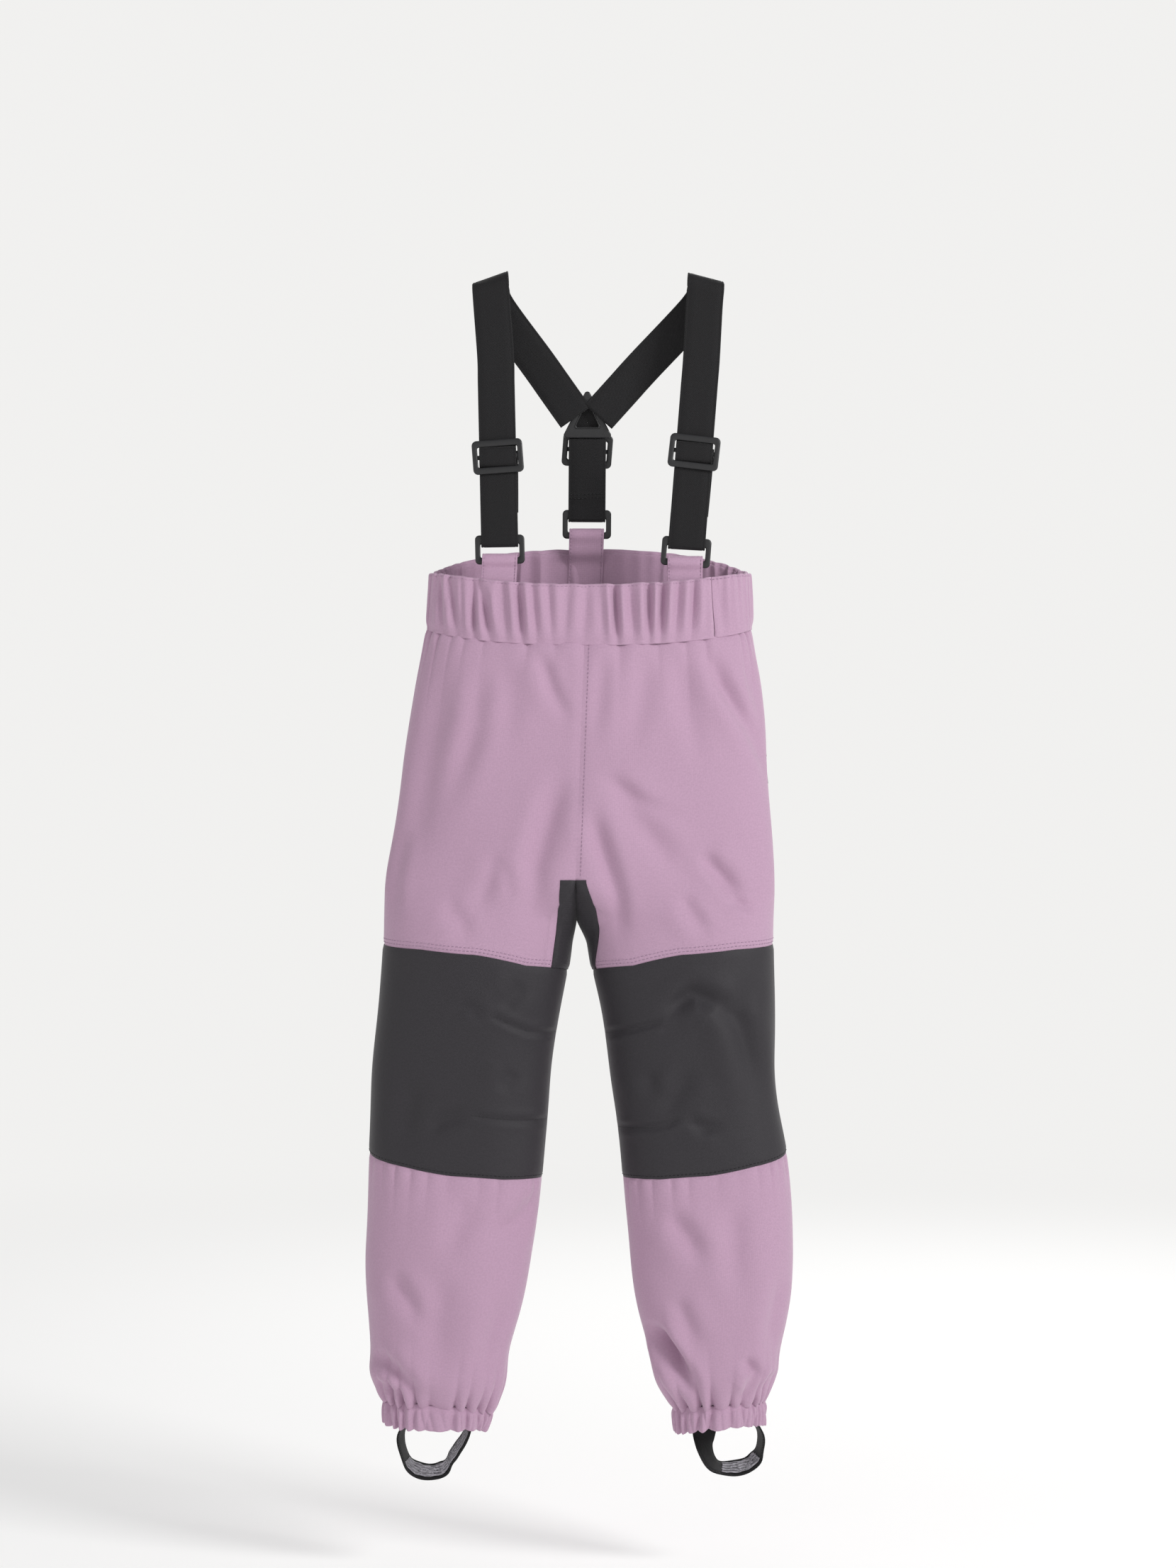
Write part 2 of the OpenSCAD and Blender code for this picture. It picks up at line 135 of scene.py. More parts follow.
hip_edges = node_edges(["waistband_front", "waistband_back"]
                       + [f"{part}_{side}" for part in ("front_panel", "back_panel") for side in SIDES])
HIP = {name: profile(hip_edges, axis, largest, CROTCH_Z, WAIST_TOP_FRONT - 8) for name, axis, largest in (
    ("left", 0, True), ("right", 0, False), ("back", 1, True), ("front", 1, False))}
LEG = {}
for side, sign in SIDES.items():
    leg_edges = node_edges([f"{part}_{side}" for part in (
        "thigh_front", "thigh_back", "inner_thigh", "knee_patch_upper", "knee_patch_lower",
        "shin_front", "shin_back")])
    LEG[side] = {name: profile(leg_edges, axis, largest, GATHER_Z, CROTCH_Z) for name, axis, largest in (
        ("outer", 0, sign > 0), ("inner", 0, sign < 0), ("back", 1, True), ("front", 1, False))}


# ------------------------------------------------------------------ the garment's surface
ROUNDNESS = 2.4
ARCH_TOP = CROTCH_Z + 4        # height of the crotch seam at its front and back ends
ARCH_SAG = 20                  # how far it dips in the middle
OPEN_OVER = 34                 # the legs part over this height below the crotch seam


def smoothstep(x):
    x = np.clip(x, 0, 1)
    return x * x * (3 - 2 * x)


def powered(v, p):
    return np.sign(v) * np.abs(v) ** p


def oval(angle, start, end, front, back):
    """A point on a flattened oval; angle 0 is at end, 90 at back, 180 at start."""
    a = np.radians(angle)
    p = 2 / ROUNDNESS
    x = (start + end) / 2 + (end - start) / 2 * powered(np.cos(a), p)
    y = (front + back) / 2 + (back - front) / 2 * powered(np.sin(a), p)
    return x, y


def hip_xy(phi, z):
    return oval(phi, HIP["right"](z), HIP["left"](z), HIP["front"](z), HIP["back"](z))


def leg_xy(side, t, z):
    leg = LEG[side]
    return oval(t, leg["inner"](z), leg["outer"](z), leg["front"](z), leg["back"](z))


def seam_x(z):
    """The centre seam leans a little to the wearer's right."""
    return -3 - 7 * np.clip((-300 - z) / 190, 0, 1)


def arch(t):
    """Height of the crotch seam at angle t; level outside the inner wall."""
    return ARCH_TOP - ARCH_SAG * np.cos(np.radians(np.clip(t - 180, -45, 45) * 2)) ** 1.2


def opening(t, z):
    """0 on the hips, 1 on a round leg, in between just under the crotch seam."""
    return smoothstep((arch(t) - z) / OPEN_OVER)


def hip_angle(side, t):
    """phi for an angle t of a leg, its inner wall left out."""
    signed = np.where(t % 360 > 180, t % 360 - 360, t % 360)
    phi = np.clip(signed, -135, 135) * 90 / 135
    return phi % 360 if SIDES[side] > 0 else (180 - phi) % 360


def broadcast(t, z):
    return np.broadcast_arrays(np.asarray(t, float) % 360, np.asarray(z, float))


def base_point(side, t, z):
    """The smooth garment, before folds. t in degrees, z in millimetres; arrays broadcast."""
    t, z = broadcast(t, z)
    # the upper shape: half of the hips, closed by a flat wall on the centre plane
    phi = np.clip(np.where(t > 180, t - 360, t), -135, 135) * 90 / 135
    x, y = hip_xy(phi if SIDES[side] > 0 else 180 - phi, z)
    middle = (HIP["right"](z) + HIP["left"](z)) / 2
    x = x + (seam_x(z) - middle) * smoothstep(np.abs(phi) / 90) ** 2
    in_wall = (t > 135) & (t < 225)
    along = np.clip((t - 135) / 90, 0, 1)
    _, back_y = hip_xy(90, z)
    _, front_y = hip_xy(270, z)
    x = np.where(in_wall, seam_x(z), x)
    y = np.where(in_wall, back_y + (front_y - back_y) * along, y)
    leg_x, leg_y = leg_xy(side, t, z)
    w = opening(t, z)
    return np.stack([x * (1 - w) + leg_x * w, y * (1 - w) + leg_y * w, z], -1)


def oval_normal(xy, angle, z, sign):
    """Outward from an oval tube xy(angle, z)."""
    x1, y1 = xy(angle + 1, z)
    x0, y0 = xy(angle - 1, z)
    x3, y3 = xy(angle, z + 2)
    x2, y2 = xy(angle, z - 2)
    flat = np.zeros(np.shape(x1))
    n = np.cross(np.stack([x1 - x0, y1 - y0, flat], -1), np.stack([x3 - x2, y3 - y2, flat + 4], -1)) * sign
    return n / np.maximum(np.linalg.norm(n, axis=-1, keepdims=True), 1e-9)


def hip_normal(phi, z):
    return oval_normal(hip_xy, phi, z, 1)


def normal(side, t, z):
    """Outward from the garment. Hips and leg are blended as in base_point."""
    t, z = broadcast(t, z)
    upper = hip_normal(hip_angle(side, t), z)
    wall = smoothstep(np.minimum(t - 135, 225 - t) / 22)[..., None]
    upper = upper * (1 - wall) + np.array([-SIDES[side], 0, 0]) * wall
    lower = oval_normal(lambda a, h: leg_xy(side, a, h), t, z, SIDES[side])
    w = opening(t, z)[..., None]
    n = upper * (1 - w) + lower * w
    return n / np.maximum(np.linalg.norm(n, axis=-1, keepdims=True), 1e-9)


# ------------------------------------------------------------------ folds
def crease(p, chain, width, depth, lopsided=0.0, taper=(0.3, 0.5)):
    """Height of a soft valley along a chain of (x, z) points, seen from the front or back.
    lopsided raises one bank; taper says how much of each end fades."""
    x, z = p[..., 0], p[..., 2]
    points = np.array(chain, float)
    steps = np.diff(points, axis=0)
    lengths = np.linalg.norm(steps, axis=1)
    best = np.full(x.shape, 1e9)
    signed, where = np.zeros((2, *x.shape))
    done = 0.0
    for a, d, length in zip(points[:-1], steps, lengths):
        u = np.clip(((x - a[0]) * d[0] + (z - a[1]) * d[1]) / length**2, 0, 1)
        ox, oz = x - a[0] - u * d[0], z - a[1] - u * d[1]
        away = np.hypot(ox, oz)
        closer = away < best
        best = np.where(closer, away, best)
        signed = np.where(closer, np.sign(ox * d[1] - oz * d[0]) * away, signed)
        where = np.where(closer, (done + u * length) / lengths.sum(), where)
        done += length
    s = signed / width
    fade = smoothstep(where / taper[0]) * smoothstep((1 - where) / taper[1])
    shape = -0.7 * np.exp(-s * s) + 0.3 * np.exp(-(np.abs(s) - 1.7) ** 2)
    shape = shape + 1.15 * lopsided * s * np.exp(-s * s)
    return depth * fade * shape


# Folds of the hips and thighs, each: chain of (x, z), width, depth, lopsided
FRONT_FOLDS = [
    ([(-44, -302), (-31, -338), (-15, -370)], 8, 2.0, 1.0),
    ([(-70, -302), (-66, -345), (-72, -395)], 13, 1.8, 0.5),
    ([(-104, -300), (-112, -350), (-136, -452), (-160, -500)], 17, 3.0, -0.7),
    ([(-88, -310), (-96, -372), (-118, -440)], 12, 1.6, 0.5),
    ([(88, -296), (106, -334), (128, -369), (141, -396), (148, -430)], 9, 3.6, 1.0),
    ([(76, -300), (84, -350), (98, -410)], 13, 2.0, -0.6),
    ([(124, -298), (134, -345), (144, -400)], 7, 2.2, 0.5),
    ([(48, -304), (40, -350), (26, -400)], 12, 1.6, 0.4),
    ([(-12, -396), (-26, -436), (-38, -478), (-40, -545)], 14, 4.2, -0.8),
    ([(-85, -292), (-92, -364), (-127, -452)], 14, 1.8, 0.8),
    ([(6, -404), (40, -428), (84, -446)], 9, 1.8, 0.9),
    ([(10, -302), (7, -345), (1, -388)], 9, 1.4, 0.7),
    ([(-74, -462), (-82, -490), (-94, -520)], 9, 1.3, 0.8),
    ([(-66, -470), (-61, -488), (-58, -512)], 8, 1.0, -0.8),
    ([(-3, -425), (8, -462), (20, -500), (24, -548)], 10, 3.8, 0.8),
    ([(8, -402), (34, -440), (62, -475), (92, -498)], 14, 3.0, 0.8),
    ([(90, -462), (112, -486), (132, -512)], 9, 3.4, -0.9),
    ([(70, -500), (82, -518), (98, -540)], 9, 2.4, 0.7),
    ([(112, -505), (128, -512), (140, -508)], 5, 2.0, 0.5),
    ([(-120, -505), (-104, -524), (-96, -546)], 10, 1.8, 0.6),
    ([(-150, -440), (-158, -490), (-160, -535)], 8, 1.6, 0.5),
]
KNEE_FOLDS = [
    ([(60, -602), (84, -584), (104, -592), (118, -616)], 11, 3.2, 0.8),
    ([(88, -640), (70, -668), (62, -690)], 11, 1.8, -0.6),
    ([(130, -560), (116, -596), (128, -640), (142, -690)], 12, 3.0, 0.7),
    ([(76, -682), (92, -690), (112, -690)], 7, 1.6, 0.7),
    ([(46, -640), (52, -672)], 9, 1.4, 0.5),
    ([(-80, -596), (-98, -588), (-116, -594)], 8, 1.4, 0.6),
    ([(-95, -678), (-116, -684), (-134, -700)], 9, 1.6, -0.6),
    ([(-142, -640), (-150, -690), (-146, -724)], 12, 1.8, 0.6),
    ([(-60, -640), (-74, -662)], 10, 1.2, 0.5),
    ([(-52, -568), (-66, -585), (-84, -590)], 10, 1.6, 0.5),
]
SHIN_FOLDS = [
    ([(-36, -738), (-60, -764), (-84, -776)], 12, 3.2, 0.8),
    ([(-164, -805), (-146, -830), (-136, -856)], 10, 2.6, 0.7),
    ([(-172, -866), (-146, -890), (-128, -908)], 9, 4.0, -0.8),
    ([(-168, -895), (-156, -905), (-148, -912)], 6, 3.0, 0.6),
    ([(-66, -820), (-80, -858), (-84, -900)], 11, 2.6, 0.6),
    ([(-112, -800), (-118, -850), (-112, -895)], 15, 2.0, -0.5),
    ([(-96, -742), (-108, -770), (-118, -800)], 13, 1.8, 0.5),
    ([(46, -846), (60, -866), (76, -888), (90, -908)], 8, 8.0, 1.1),
    ([(60, -756), (78, -780), (94, -806)], 12, 3.0, 0.8),
    ([(120, -742), (122, -790), (126, -840)], 14, 2.4, -0.6),
    ([(122, -872), (132, -888), (126, -902), (114, -910)], 7, 3.6, 0.8),
    ([(152, -888), (142, -902), (136, -912)], 7, 3.4, -0.6),
    ([(156, -800), (146, -850), (150, -890)], 9, 2.4, 0.6),
    ([(70, -820), (84, -850), (96, -872)], 9, 2.2, -0.5),
]
BACK_FOLDS = [
    ([(-40, -304), (-30, -350), (-14, -392)], 11, 2.4, 0.7),
    ([(60, -300), (74, -360), (100, -430)], 14, 2.8, -0.7),
    ([(-90, -300), (-104, -360), (-130, -440)], 14, 2.6, 0.6),
    ([(10, -400), (34, -450), (52, -500), (60, -560)], 13, 4.2, 0.8),
    ([(-14, -410), (-40, -460), (-66, -510), (-72, -560)], 13, 4.0, -0.8),
    ([(120, -480), (96, -520), (80, -560)], 12, 2.8, 0.7),
    ([(-130, -470), (-104, -520), (-96, -566)], 12, 2.6, 0.6),
    ([(140, -600), (110, -630), (70, -648), (30, -640)], 11, 5.0, 0.9),
    ([(136, -660), (100, -672), (60, -668)], 10, 3.6, -0.8),
    ([(40, -606), (70, -622), (100, -612)], 9, 3.0, 0.7),
    ([(-160, -604), (-120, -632), (-80, -646), (-44, -636)], 11, 5.0, 0.9),
    ([(-160, -664), (-120, -674), (-70, -664)], 10, 3.6, -0.8),
    ([(-60, -600), (-90, -618), (-124, -606)], 9, 3.0, 0.7),
    ([(60, -720), (80, -770), (90, -830)], 14, 2.6, 0.7),
    ([(140, -740), (128, -800), (132, -860)], 13, 2.6, -0.6),
    ([(80, -860), (96, -890), (106, -908)], 9, 4.6, 0.8),
    ([(-80, -720), (-96, -780), (-100, -840)], 14, 2.6, 0.7),
    ([(-160, -740), (-146, -800), (-150, -860)], 13, 2.4, -0.6),
    ([(-100, -860), (-118, -888), (-122, -908)], 9, 4.6, 0.8),
]
DARTS = [
    ([(-22, -613.5), (-48, -611), (-64, -604), (-80, -596.5)], 3.2, 2.4, 0.4),
    ([(-33, -683.5), (-64, -682), (-95, -678)], 3.2, 2.2, 0.4),
    ([(13, -614), (38, -609.5), (61, -602)], 3.2, 2.6, 0.4),
    ([(24, -690), (50, -689), (64, -686), (76, -681)], 3.2, 2.4, 0.4),
]


def waves(t, side, count, seed):
    """Uneven gathers round a leg, from about -0.6 in the creases to 0.4 on the rounds."""
    a = np.radians(t)
    wander = 0.9 * np.sin(2 * a + seed) + 0.7 * np.sin(5 * a + 2.1 * seed) + 0.4 * np.sin(11 * a + seed)
    phase = count * a + wander + SIDES[side] * seed
    size = 0.75 + 0.25 * np.sin(3 * a + 1.7 * seed) + 0.2 * np.sin(7 * a + seed)
    return (np.abs(np.sin(phase / 2)) ** 0.7 - 0.62) * size


CUFF_SEED = {"left": 0.8, "right": 2.2}
KNEE_SEED = {"left": 1.3, "right": 2.9}
CUFF_INSET = 4.6


def cuff_waves(side, t):
    return waves(t, side, 23, CUFF_SEED[side])


def cuff_slope(side, t, z):
    """The cuffs hang lower on the inner side of each leg."""
    rise = {"left": 3.0, "right": 4.6}[side]
    return rise * np.cos(np.radians(t)) * smoothstep((GATHER_Z + 50 - z) / 45)


def overhang(side, t, z):
    """How far the rounds of the leg hang over the top of the cuff."""
    fade = np.exp(-np.clip(z - GATHER_Z, 0, None) / 8)
    return fade * np.clip(1.6 + 7.0 * cuff_waves(side, t), 0, 4.5)


def hip_waves(phi):
    """Gathers round the waist, in angle phi round the hips, so both halves agree."""
    a = np.radians(phi)
    wander = 1.6 * np.sin(2 * a + 0.4) + 1.5 * np.sin(5 * a + 1.3) + 1.3 * np.sin(9 * a + 2.2)
    size = 0.72 + 0.38 * np.sin(4 * a + 0.9) + 0.3 * np.sin(13 * a) + 0.2 * np.sin(23 * a + 1)
    return (np.abs(np.sin((36 * a + wander) / 2)) ** 0.65 - 0.6) * size


def waist_seam(phi):
    """Height of the seam under the waistband."""
    s = np.sin(np.radians(phi))
    return -285 + np.where(s > 0, 8 * s, -14 * np.abs(s) ** 1.6)


def waist_top(phi):
    s = np.sin(np.radians(phi))
    rise = WAIST_TOP_BACK + 241.5
    return -241.5 + np.where(s > 0, rise * np.clip(s, 0, 1) ** 1.5, -10.5 * np.abs(s) ** 2.5)


def patch_top(t):
    return np.interp(t, [180, 240, 270, 300, 360], [-563, -558, -549, -545, -542])


def patch_bottom(t):
    return np.interp(t, [180, 240, 270, 300, 360], [-731, -730, -727, -720, -710])


def back_seam(t):
    """The back of the leg is joined at the height of the patch's top, mirrored front to back."""
    return patch_top(360 - np.asarray(t, float))


POCKET_CLEAR = 8.4     # from the hinge of the zip's pull in to the cloth
POCKET_BELOW, POCKET_ABOVE = 62, 108


def pocket_rise(side):
    """Where the pocket zip lies round the hip, and how far the cloth rises to meet it, by height."""
    pin = pivot(f"zip_pull_swing_{side}")
    up = np.array(joint(f"zip_slide_{side}")["axis"])
    zs = np.linspace(pin[2] - POCKET_BELOW, pin[2] + POCKET_ABOVE, 50)
    line = pin + up * ((zs - pin[2]) / up[2])[:, None]
    ts = np.linspace(4, 80, 200)
    skin = base_point(side, ts[:, None], zs[None])
    out = normal(side, ts[:, None], zs[None])
    gap = line[None] - skin
    height = (gap * out).sum(-1)
    k = np.argmin(np.linalg.norm(gap - out * height[..., None], axis=-1), axis=0)
    return zs, ts[k], np.clip(height[k, np.arange(len(zs))] - POCKET_CLEAR, 0, 14)


RISES = {side: pocket_rise(side) for side in SIDES}


def pocket_swell(side, t, z):
    """The garment stands out along the pocket zip."""
    zs, at, height = RISES[side]
    fade = smoothstep((z - zs[0]) / 44) * smoothstep((zs[-1] - z) / 16)
    return fade * np.interp(z, zs, height) * np.exp(-((t - np.interp(z, zs, at)) * 1.3 / 17) ** 2)


def folds(side, t, z):
    """How far the cloth stands off the smooth garment, in millimetres."""
    t, z = broadcast(t, z)
    p = base_point(side, t, z)
    out_y = normal(side, t, z)[..., 1]
    facing, behind = smoothstep(-out_y * 1.6), smoothstep(out_y * 1.6)
    d = pocket_swell(side, t, z)
    for group, seen, strength, spread, taper in (
            (FRONT_FOLDS, facing, 1.5, 0.85, (0.3, 0.5)), (KNEE_FOLDS, facing, 1.9, 0.85, (0.3, 0.5)),
            (SHIN_FOLDS, facing, 1.7, 0.85, (0.3, 0.5)), (DARTS, facing, 1, 1, (0.02, 0.15)),
            (BACK_FOLDS, behind, 1.3, 1, (0.3, 0.5))):
        for chain, width, depth, lopsided in group:
            d += strength * seen * crease(p, chain, spread * width, depth, lopsided, taper)
    # gathers that run down from the waistband
    phi = hip_angle(side, t)
    below = waist_seam(phi) - z
    a = np.radians(phi)
    reach = 8 + 20 * np.sin(6 * a + 1) ** 4 + 12 * np.sin(17 * a) ** 4
    d += 3.4 * hip_waves(phi) * np.exp(-np.clip(below, 0, None) / reach) * (below > -60)
    d -= 1.6 * np.exp(-np.clip(below, 0, None) / 4)
    # gathers under the knee patch
    under = patch_bottom(t) - z
    tucks = waves(t, side, 26, KNEE_SEED[side])
    front = smoothstep((t - 184) / 16) * smoothstep((358 - t) / 16)
    d += front * np.where(under > 0, 2.8 * tucks * np.exp(-np.clip(under, 0, None) / 15), 0)
    # blousing over the cuff: the cloth balloons, then turns in
    up = z - GATHER_Z
    d += 4.0 * np.exp(-((up - 20) / 16) ** 2)
    d += 7.5 * cuff_waves(side, t) * np.exp(-np.clip(up, 0, None) / 17)
    d -= (CUFF_INSET - 2) * np.exp(-np.clip(up, 0, None) / 5)
    # slow unevenness everywhere
    x = p[..., 0]
    d += 1.3 * np.sin(x / 23 + 1.1 * np.sin(z / 41)) * np.sin(z / 37 + x / 60)
    return d


SEAM_DEPTH = 0.9
SEAM_WIDTH = 2.6


def point(side, t, z, lift=0.0, pinch=None):
    """A point on the folded garment, raised by lift; pinch is the distance to the panel's edge."""
    d = folds(side, t, z) + lift
    if pinch is not None:
        d = d - SEAM_DEPTH * np.exp(-(pinch / SEAM_WIDTH) ** 2)
    made = base_point(side, t, z) + normal(side, t, z) * d[..., None]
    made[..., 2] += cuff_slope(side, t, z) - overhang(side, t, z)
    return made


# ------------------------------------------------------------------ meshes
def add(name, data):
    made = bpy.data.objects.new(name, data)
    bpy.context.scene.collection.objects.link(made)
    return made


def new_object(name, vertices, faces):
    mesh = bpy.data.meshes.new(name)
    mesh.from_pydata([tuple(v) for v in np.asarray(vertices) * MM], [], faces)
    mesh.validate()
    mesh.update()
    mesh.polygons.foreach_set("use_smooth", [True] * len(mesh.polygons))
    return add(name, mesh)


def dress(made, look, slot, body, replaced=()):
    """Material, slot (not used), what it stands for and the body it rides; two bodies and a span attach it to
    none.
    """
    made.data.materials.append(look)
    if replaced:
        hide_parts(*replaced)
    if isinstance(body, str):
        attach(made, body)
    else:
        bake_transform(made)
    return made


def set_uv(made, uv):
    """uv is one (u, v) in metres for each vertex."""
    mesh = made.data
    layer = mesh.uv_layers.new(name="cloth")
    loops = np.empty(len(mesh.loops), int)
    mesh.loops.foreach_get("vertex_index", loops)
    layer.data.foreach_set("uv", np.asarray(uv)[loops].ravel())


def thicken(made, thickness, smooth=False):
    solid = made.modifiers.new("thickness", "SOLIDIFY")
    solid.thickness = thickness * MM
    solid.offset = -1
    if smooth:
        made.modifiers.new("smooth", "SUBSURF").render_levels = 1


def grid_faces(columns, rows, closed=False):
    """Quads of a grid stored column by column."""
    return [(i * rows + j, (i + 1) % columns * rows + j, (i + 1) % columns * rows + j + 1, i * rows + j + 1)
            for i in range(columns if closed else columns - 1) for j in range(rows - 1)]


def ring_faces(rings, count, closed=False):
    """Quads between closed rings of count points; closed joins the last ring to the first."""
    return [(i * count + j, i * count + (j + 1) % count, (i + 1) % rings * count + (j + 1) % count,
             (i + 1) % rings * count + j) for i in range(rings if closed else rings - 1)
            for j in range(count)]


def face_out(faces, vertices, normals):
    """Turn the faces over if they look against the normals."""
    picked = faces[len(faces) // 2]
    a, b, c = (vertices[i] for i in picked[:3])
    return faces if np.dot(np.cross(b - a, c - b), normals[picked[0]]) > 0 else [f[::-1] for f in faces]


def distances(points, axis=0):
    """How far each point of a path or grid is along the axis from its start, in millimetres."""
    steps = np.linalg.norm(np.diff(points, axis=axis), axis=-1)
    return np.concatenate([np.zeros_like(steps.take([0], axis)), np.cumsum(steps, axis=axis)], axis)


def grid_uv(grid):
    """Arc lengths along and across a grid of points, in metres."""
    across, down = distances(grid, 0), distances(grid, 1)
    middle = across[:, [grid.shape[1] // 2]]
    return np.stack([np.broadcast_to(middle, across.shape), down], -1).reshape(-1, 2) * MM


def sum_area(made):
    return sum(p.area for p in made.data.polygons)


def widest(grid, axis):
    """The longest line through a grid of points, with its ease, in metres."""
    return np.linalg.norm(np.diff(grid, axis=axis), axis=-1).sum(axis).max() * MM * EASE


def skin_mesh(name, grid, normals, thickness, dressing, closed=False):
    """A cloth of any grid of points, thickened and dressed."""
    vertices = grid.reshape(-1, 3)
    made = new_object(name, vertices, face_out(grid_faces(*grid.shape[:2], closed), vertices, normals))
    set_uv(made, grid_uv(grid))
    dress(made, *dressing)
    thicken(made, thickness, smooth=True)
    return made


# ------------------------------------------------------------------ panels
CLOTH_T = 2.2          # the padded shell
TURN_IN = 2.6          # seam allowance turned in at a panel's border


def mm_per_degree(side, t, z):
    return np.linalg.norm(base_point(side, t + 2, z) - base_point(side, t - 2, z), axis=-1) / 4


def pinched(side, t, z, edge_t, edge_z, lift):
    """Folded points for grids t, z; edge_t and edge_z are the gaps to the nearest borders."""
    return point(side, t, z, lift, np.minimum(edge_t * mm_per_degree(side, t, z), edge_z))


def plain_panel(side, ts, top, bottom, rows, lift=0.0, last=None):
    """A panel wholly above or below the crotch seam. last(z) replaces the last angle, row by row."""
    v = np.linspace(0, 1, rows)[None]
    t = np.broadcast_to(ts[:, None], (len(ts), rows)).copy()
    for _ in range(3):
        z = top(t) + (bottom(t) - top(t)) * v
        if last:
            share = (ts - ts[0])[:, None] / (ts[-1] - ts[0])
            t = ts[0] + (last(z) - ts[0]) * share
    edge_t = np.minimum(t - t[:1], t[-1:] - t)
    grid = pinched(side, t, z, edge_t, np.minimum(top(t) - z, z - bottom(t)), lift)
    return grid, grid_faces(*grid.shape[:2]), grid.reshape(-1, 3), grid_uv(grid), normal(side, t, z)


# Front edge of the black insert, as (x, z) down from the crotch
INSERT_EDGE = {
    "right": [(-22.5, -491), (-24.5, -510), (-26.4, -531), (-29.5, -560)],
    "left": [(-1.5, -491), (1.5, -500), (6.4, -511), (9.6, -531), (6.0, -557)],
}


def angle_at(side, x, z, ts, blur):
    """The angle, out of ts, at which the garment lies over each (x, z), evened out."""
    skin = base_point(side, ts[:, None], z[None])[..., 0]
    t = ts[np.argmin(np.abs(skin - x[None]), axis=0)]
    return even(t, blur)


def even(values, blur):
    window = np.ones(2 * blur + 1) / (2 * blur + 1)
    return np.convolve(np.pad(values, blur, mode="edge"), window, mode="valid")


def insert_edge(side):
    """Angle of the front edge of the black insert, by height."""
    zs = np.linspace(ARCH_TOP, -566, 40)
    x, z = np.array(INSERT_EDGE[side]).T
    t = angle_at(side, np.interp(zs, z[::-1], x[::-1]), zs, np.linspace(196, 250, 220), 2)
    return lambda at: np.interp(at, zs[::-1], t[::-1])


def inner_edge(side):
    """Angle of the front panel's inner edge below the crotch, just under the edge of the insert."""
    over = insert_edge(side)
    return lambda z: np.minimum(222, over(z) - 3)


def split_panel(side, ts, extra, top, bottom, rows_above, rows_below, edge=None):
    """A panel that passes the crotch: ts are the columns on the hips, extra those that start at the
    crotch seam, on the inside of the leg."""
    front = ts[0] >= 225
    v_above = np.linspace(0, 1, rows_above + 1)[None]
    v_below = np.linspace(0, 1, rows_below + 1)[None]
    rows = rows_above + rows_below + 1
    t = np.broadcast_to(ts[:, None], (len(ts), rows))
    above, below = t[:, :rows_above + 1], t[:, rows_above + 1:]
    z = np.concatenate([top(above) + (ARCH_TOP - top(above)) * v_above,
                        ARCH_TOP + (bottom(below) - ARCH_TOP) * v_below[:, 1:]], 1)
    leg_t = np.broadcast_to(extra[:, None], (len(extra), rows_below + 1)).copy()
    for _ in range(3):
        leg_z = arch(leg_t) + (bottom(leg_t) - arch(leg_t)) * v_below
        if edge:
            share = (225 - extra)[:, None] / (225 - extra[0])
            leg_t = 225 - (225 - edge(leg_z)) * share
    seam_t, outer_t = (225, 360) if front else (135, 0)
    inner_gap = np.where(z < ARCH_TOP - 0.5, 999, np.abs(t - seam_t))
    hips = pinched(side, t, z, np.minimum(inner_gap, np.abs(t - outer_t)),
                   np.minimum(top(t) - z, z - bottom(t)), 0.0)
    far_t = edge(leg_z) if edge else 180
    leg = pinched(side, leg_t, leg_z, np.abs(leg_t - far_t),
                  np.minimum(arch(leg_t) - leg_z, leg_z - bottom(leg_t)), 0.0)
    vertices = np.concatenate([hips.reshape(-1, 3), leg.reshape(-1, 3)])
    normals = np.concatenate([normal(side, t, z).reshape(-1, 3), normal(side, leg_t, leg_z).reshape(-1, 3)])
    near = (0 if front else len(ts) - 1) * rows + rows_above     # where the leg's columns join the hips'
    far = len(ts) * rows + ((len(extra) - 1) * (rows_below + 1) if front else 0)
    hips_uv = grid_uv(hips)
    uv = np.concatenate([hips_uv, grid_uv(leg) + hips_uv[near]])
    faces = grid_faces(len(ts), rows)
    faces += [tuple(len(ts) * rows + i for i in f) for f in grid_faces(len(extra), rows_below + 1)]
    left, right = (far, near) if front else (near, far)
    faces += [(left + j, right + j, right + j + 1, left + j + 1) for j in range(rows_below)]
    return hips, faces, vertices, uv, normals


def turn_in(vertices, faces, uv, normals):
    """Turn the border of a panel in, as its seam allowance is, so that two panels meet without a gap."""
    seen = {}
    for face in faces:
        for a, b in zip(face, face[1:] + face[:1]):
            key = (min(a, b), max(a, b))
            seen[key] = None if key in seen else (a, b)
    border = [pair for pair in seen.values() if pair]
    used = sorted({i for pair in border for i in pair})
    new = {old: len(vertices) + k for k, old in enumerate(used)}
    vertices = np.concatenate([vertices, vertices[used] - normals[used] * TURN_IN])
    uv = np.concatenate([uv, uv[used] + 0.0015])
    return vertices, faces + [(b, a, new[a], new[b]) for a, b in border], uv, border


def crisp(made, border):
    """Keep the edge along which a seam allowance turns in sharp, so that seams stay narrow."""
    mesh = made.data
    pairs = np.empty(len(mesh.edges) * 2, int)
    mesh.edges.foreach_get("vertices", pairs)
    wanted = {(min(a, b), max(a, b)) for a, b in border}
    hit = [(min(a, b), max(a, b)) in wanted for a, b in pairs.reshape(-1, 2)]
    mesh.attributes.new("sharp_edge", "BOOLEAN", "EDGE").data.foreach_set("value", hit)


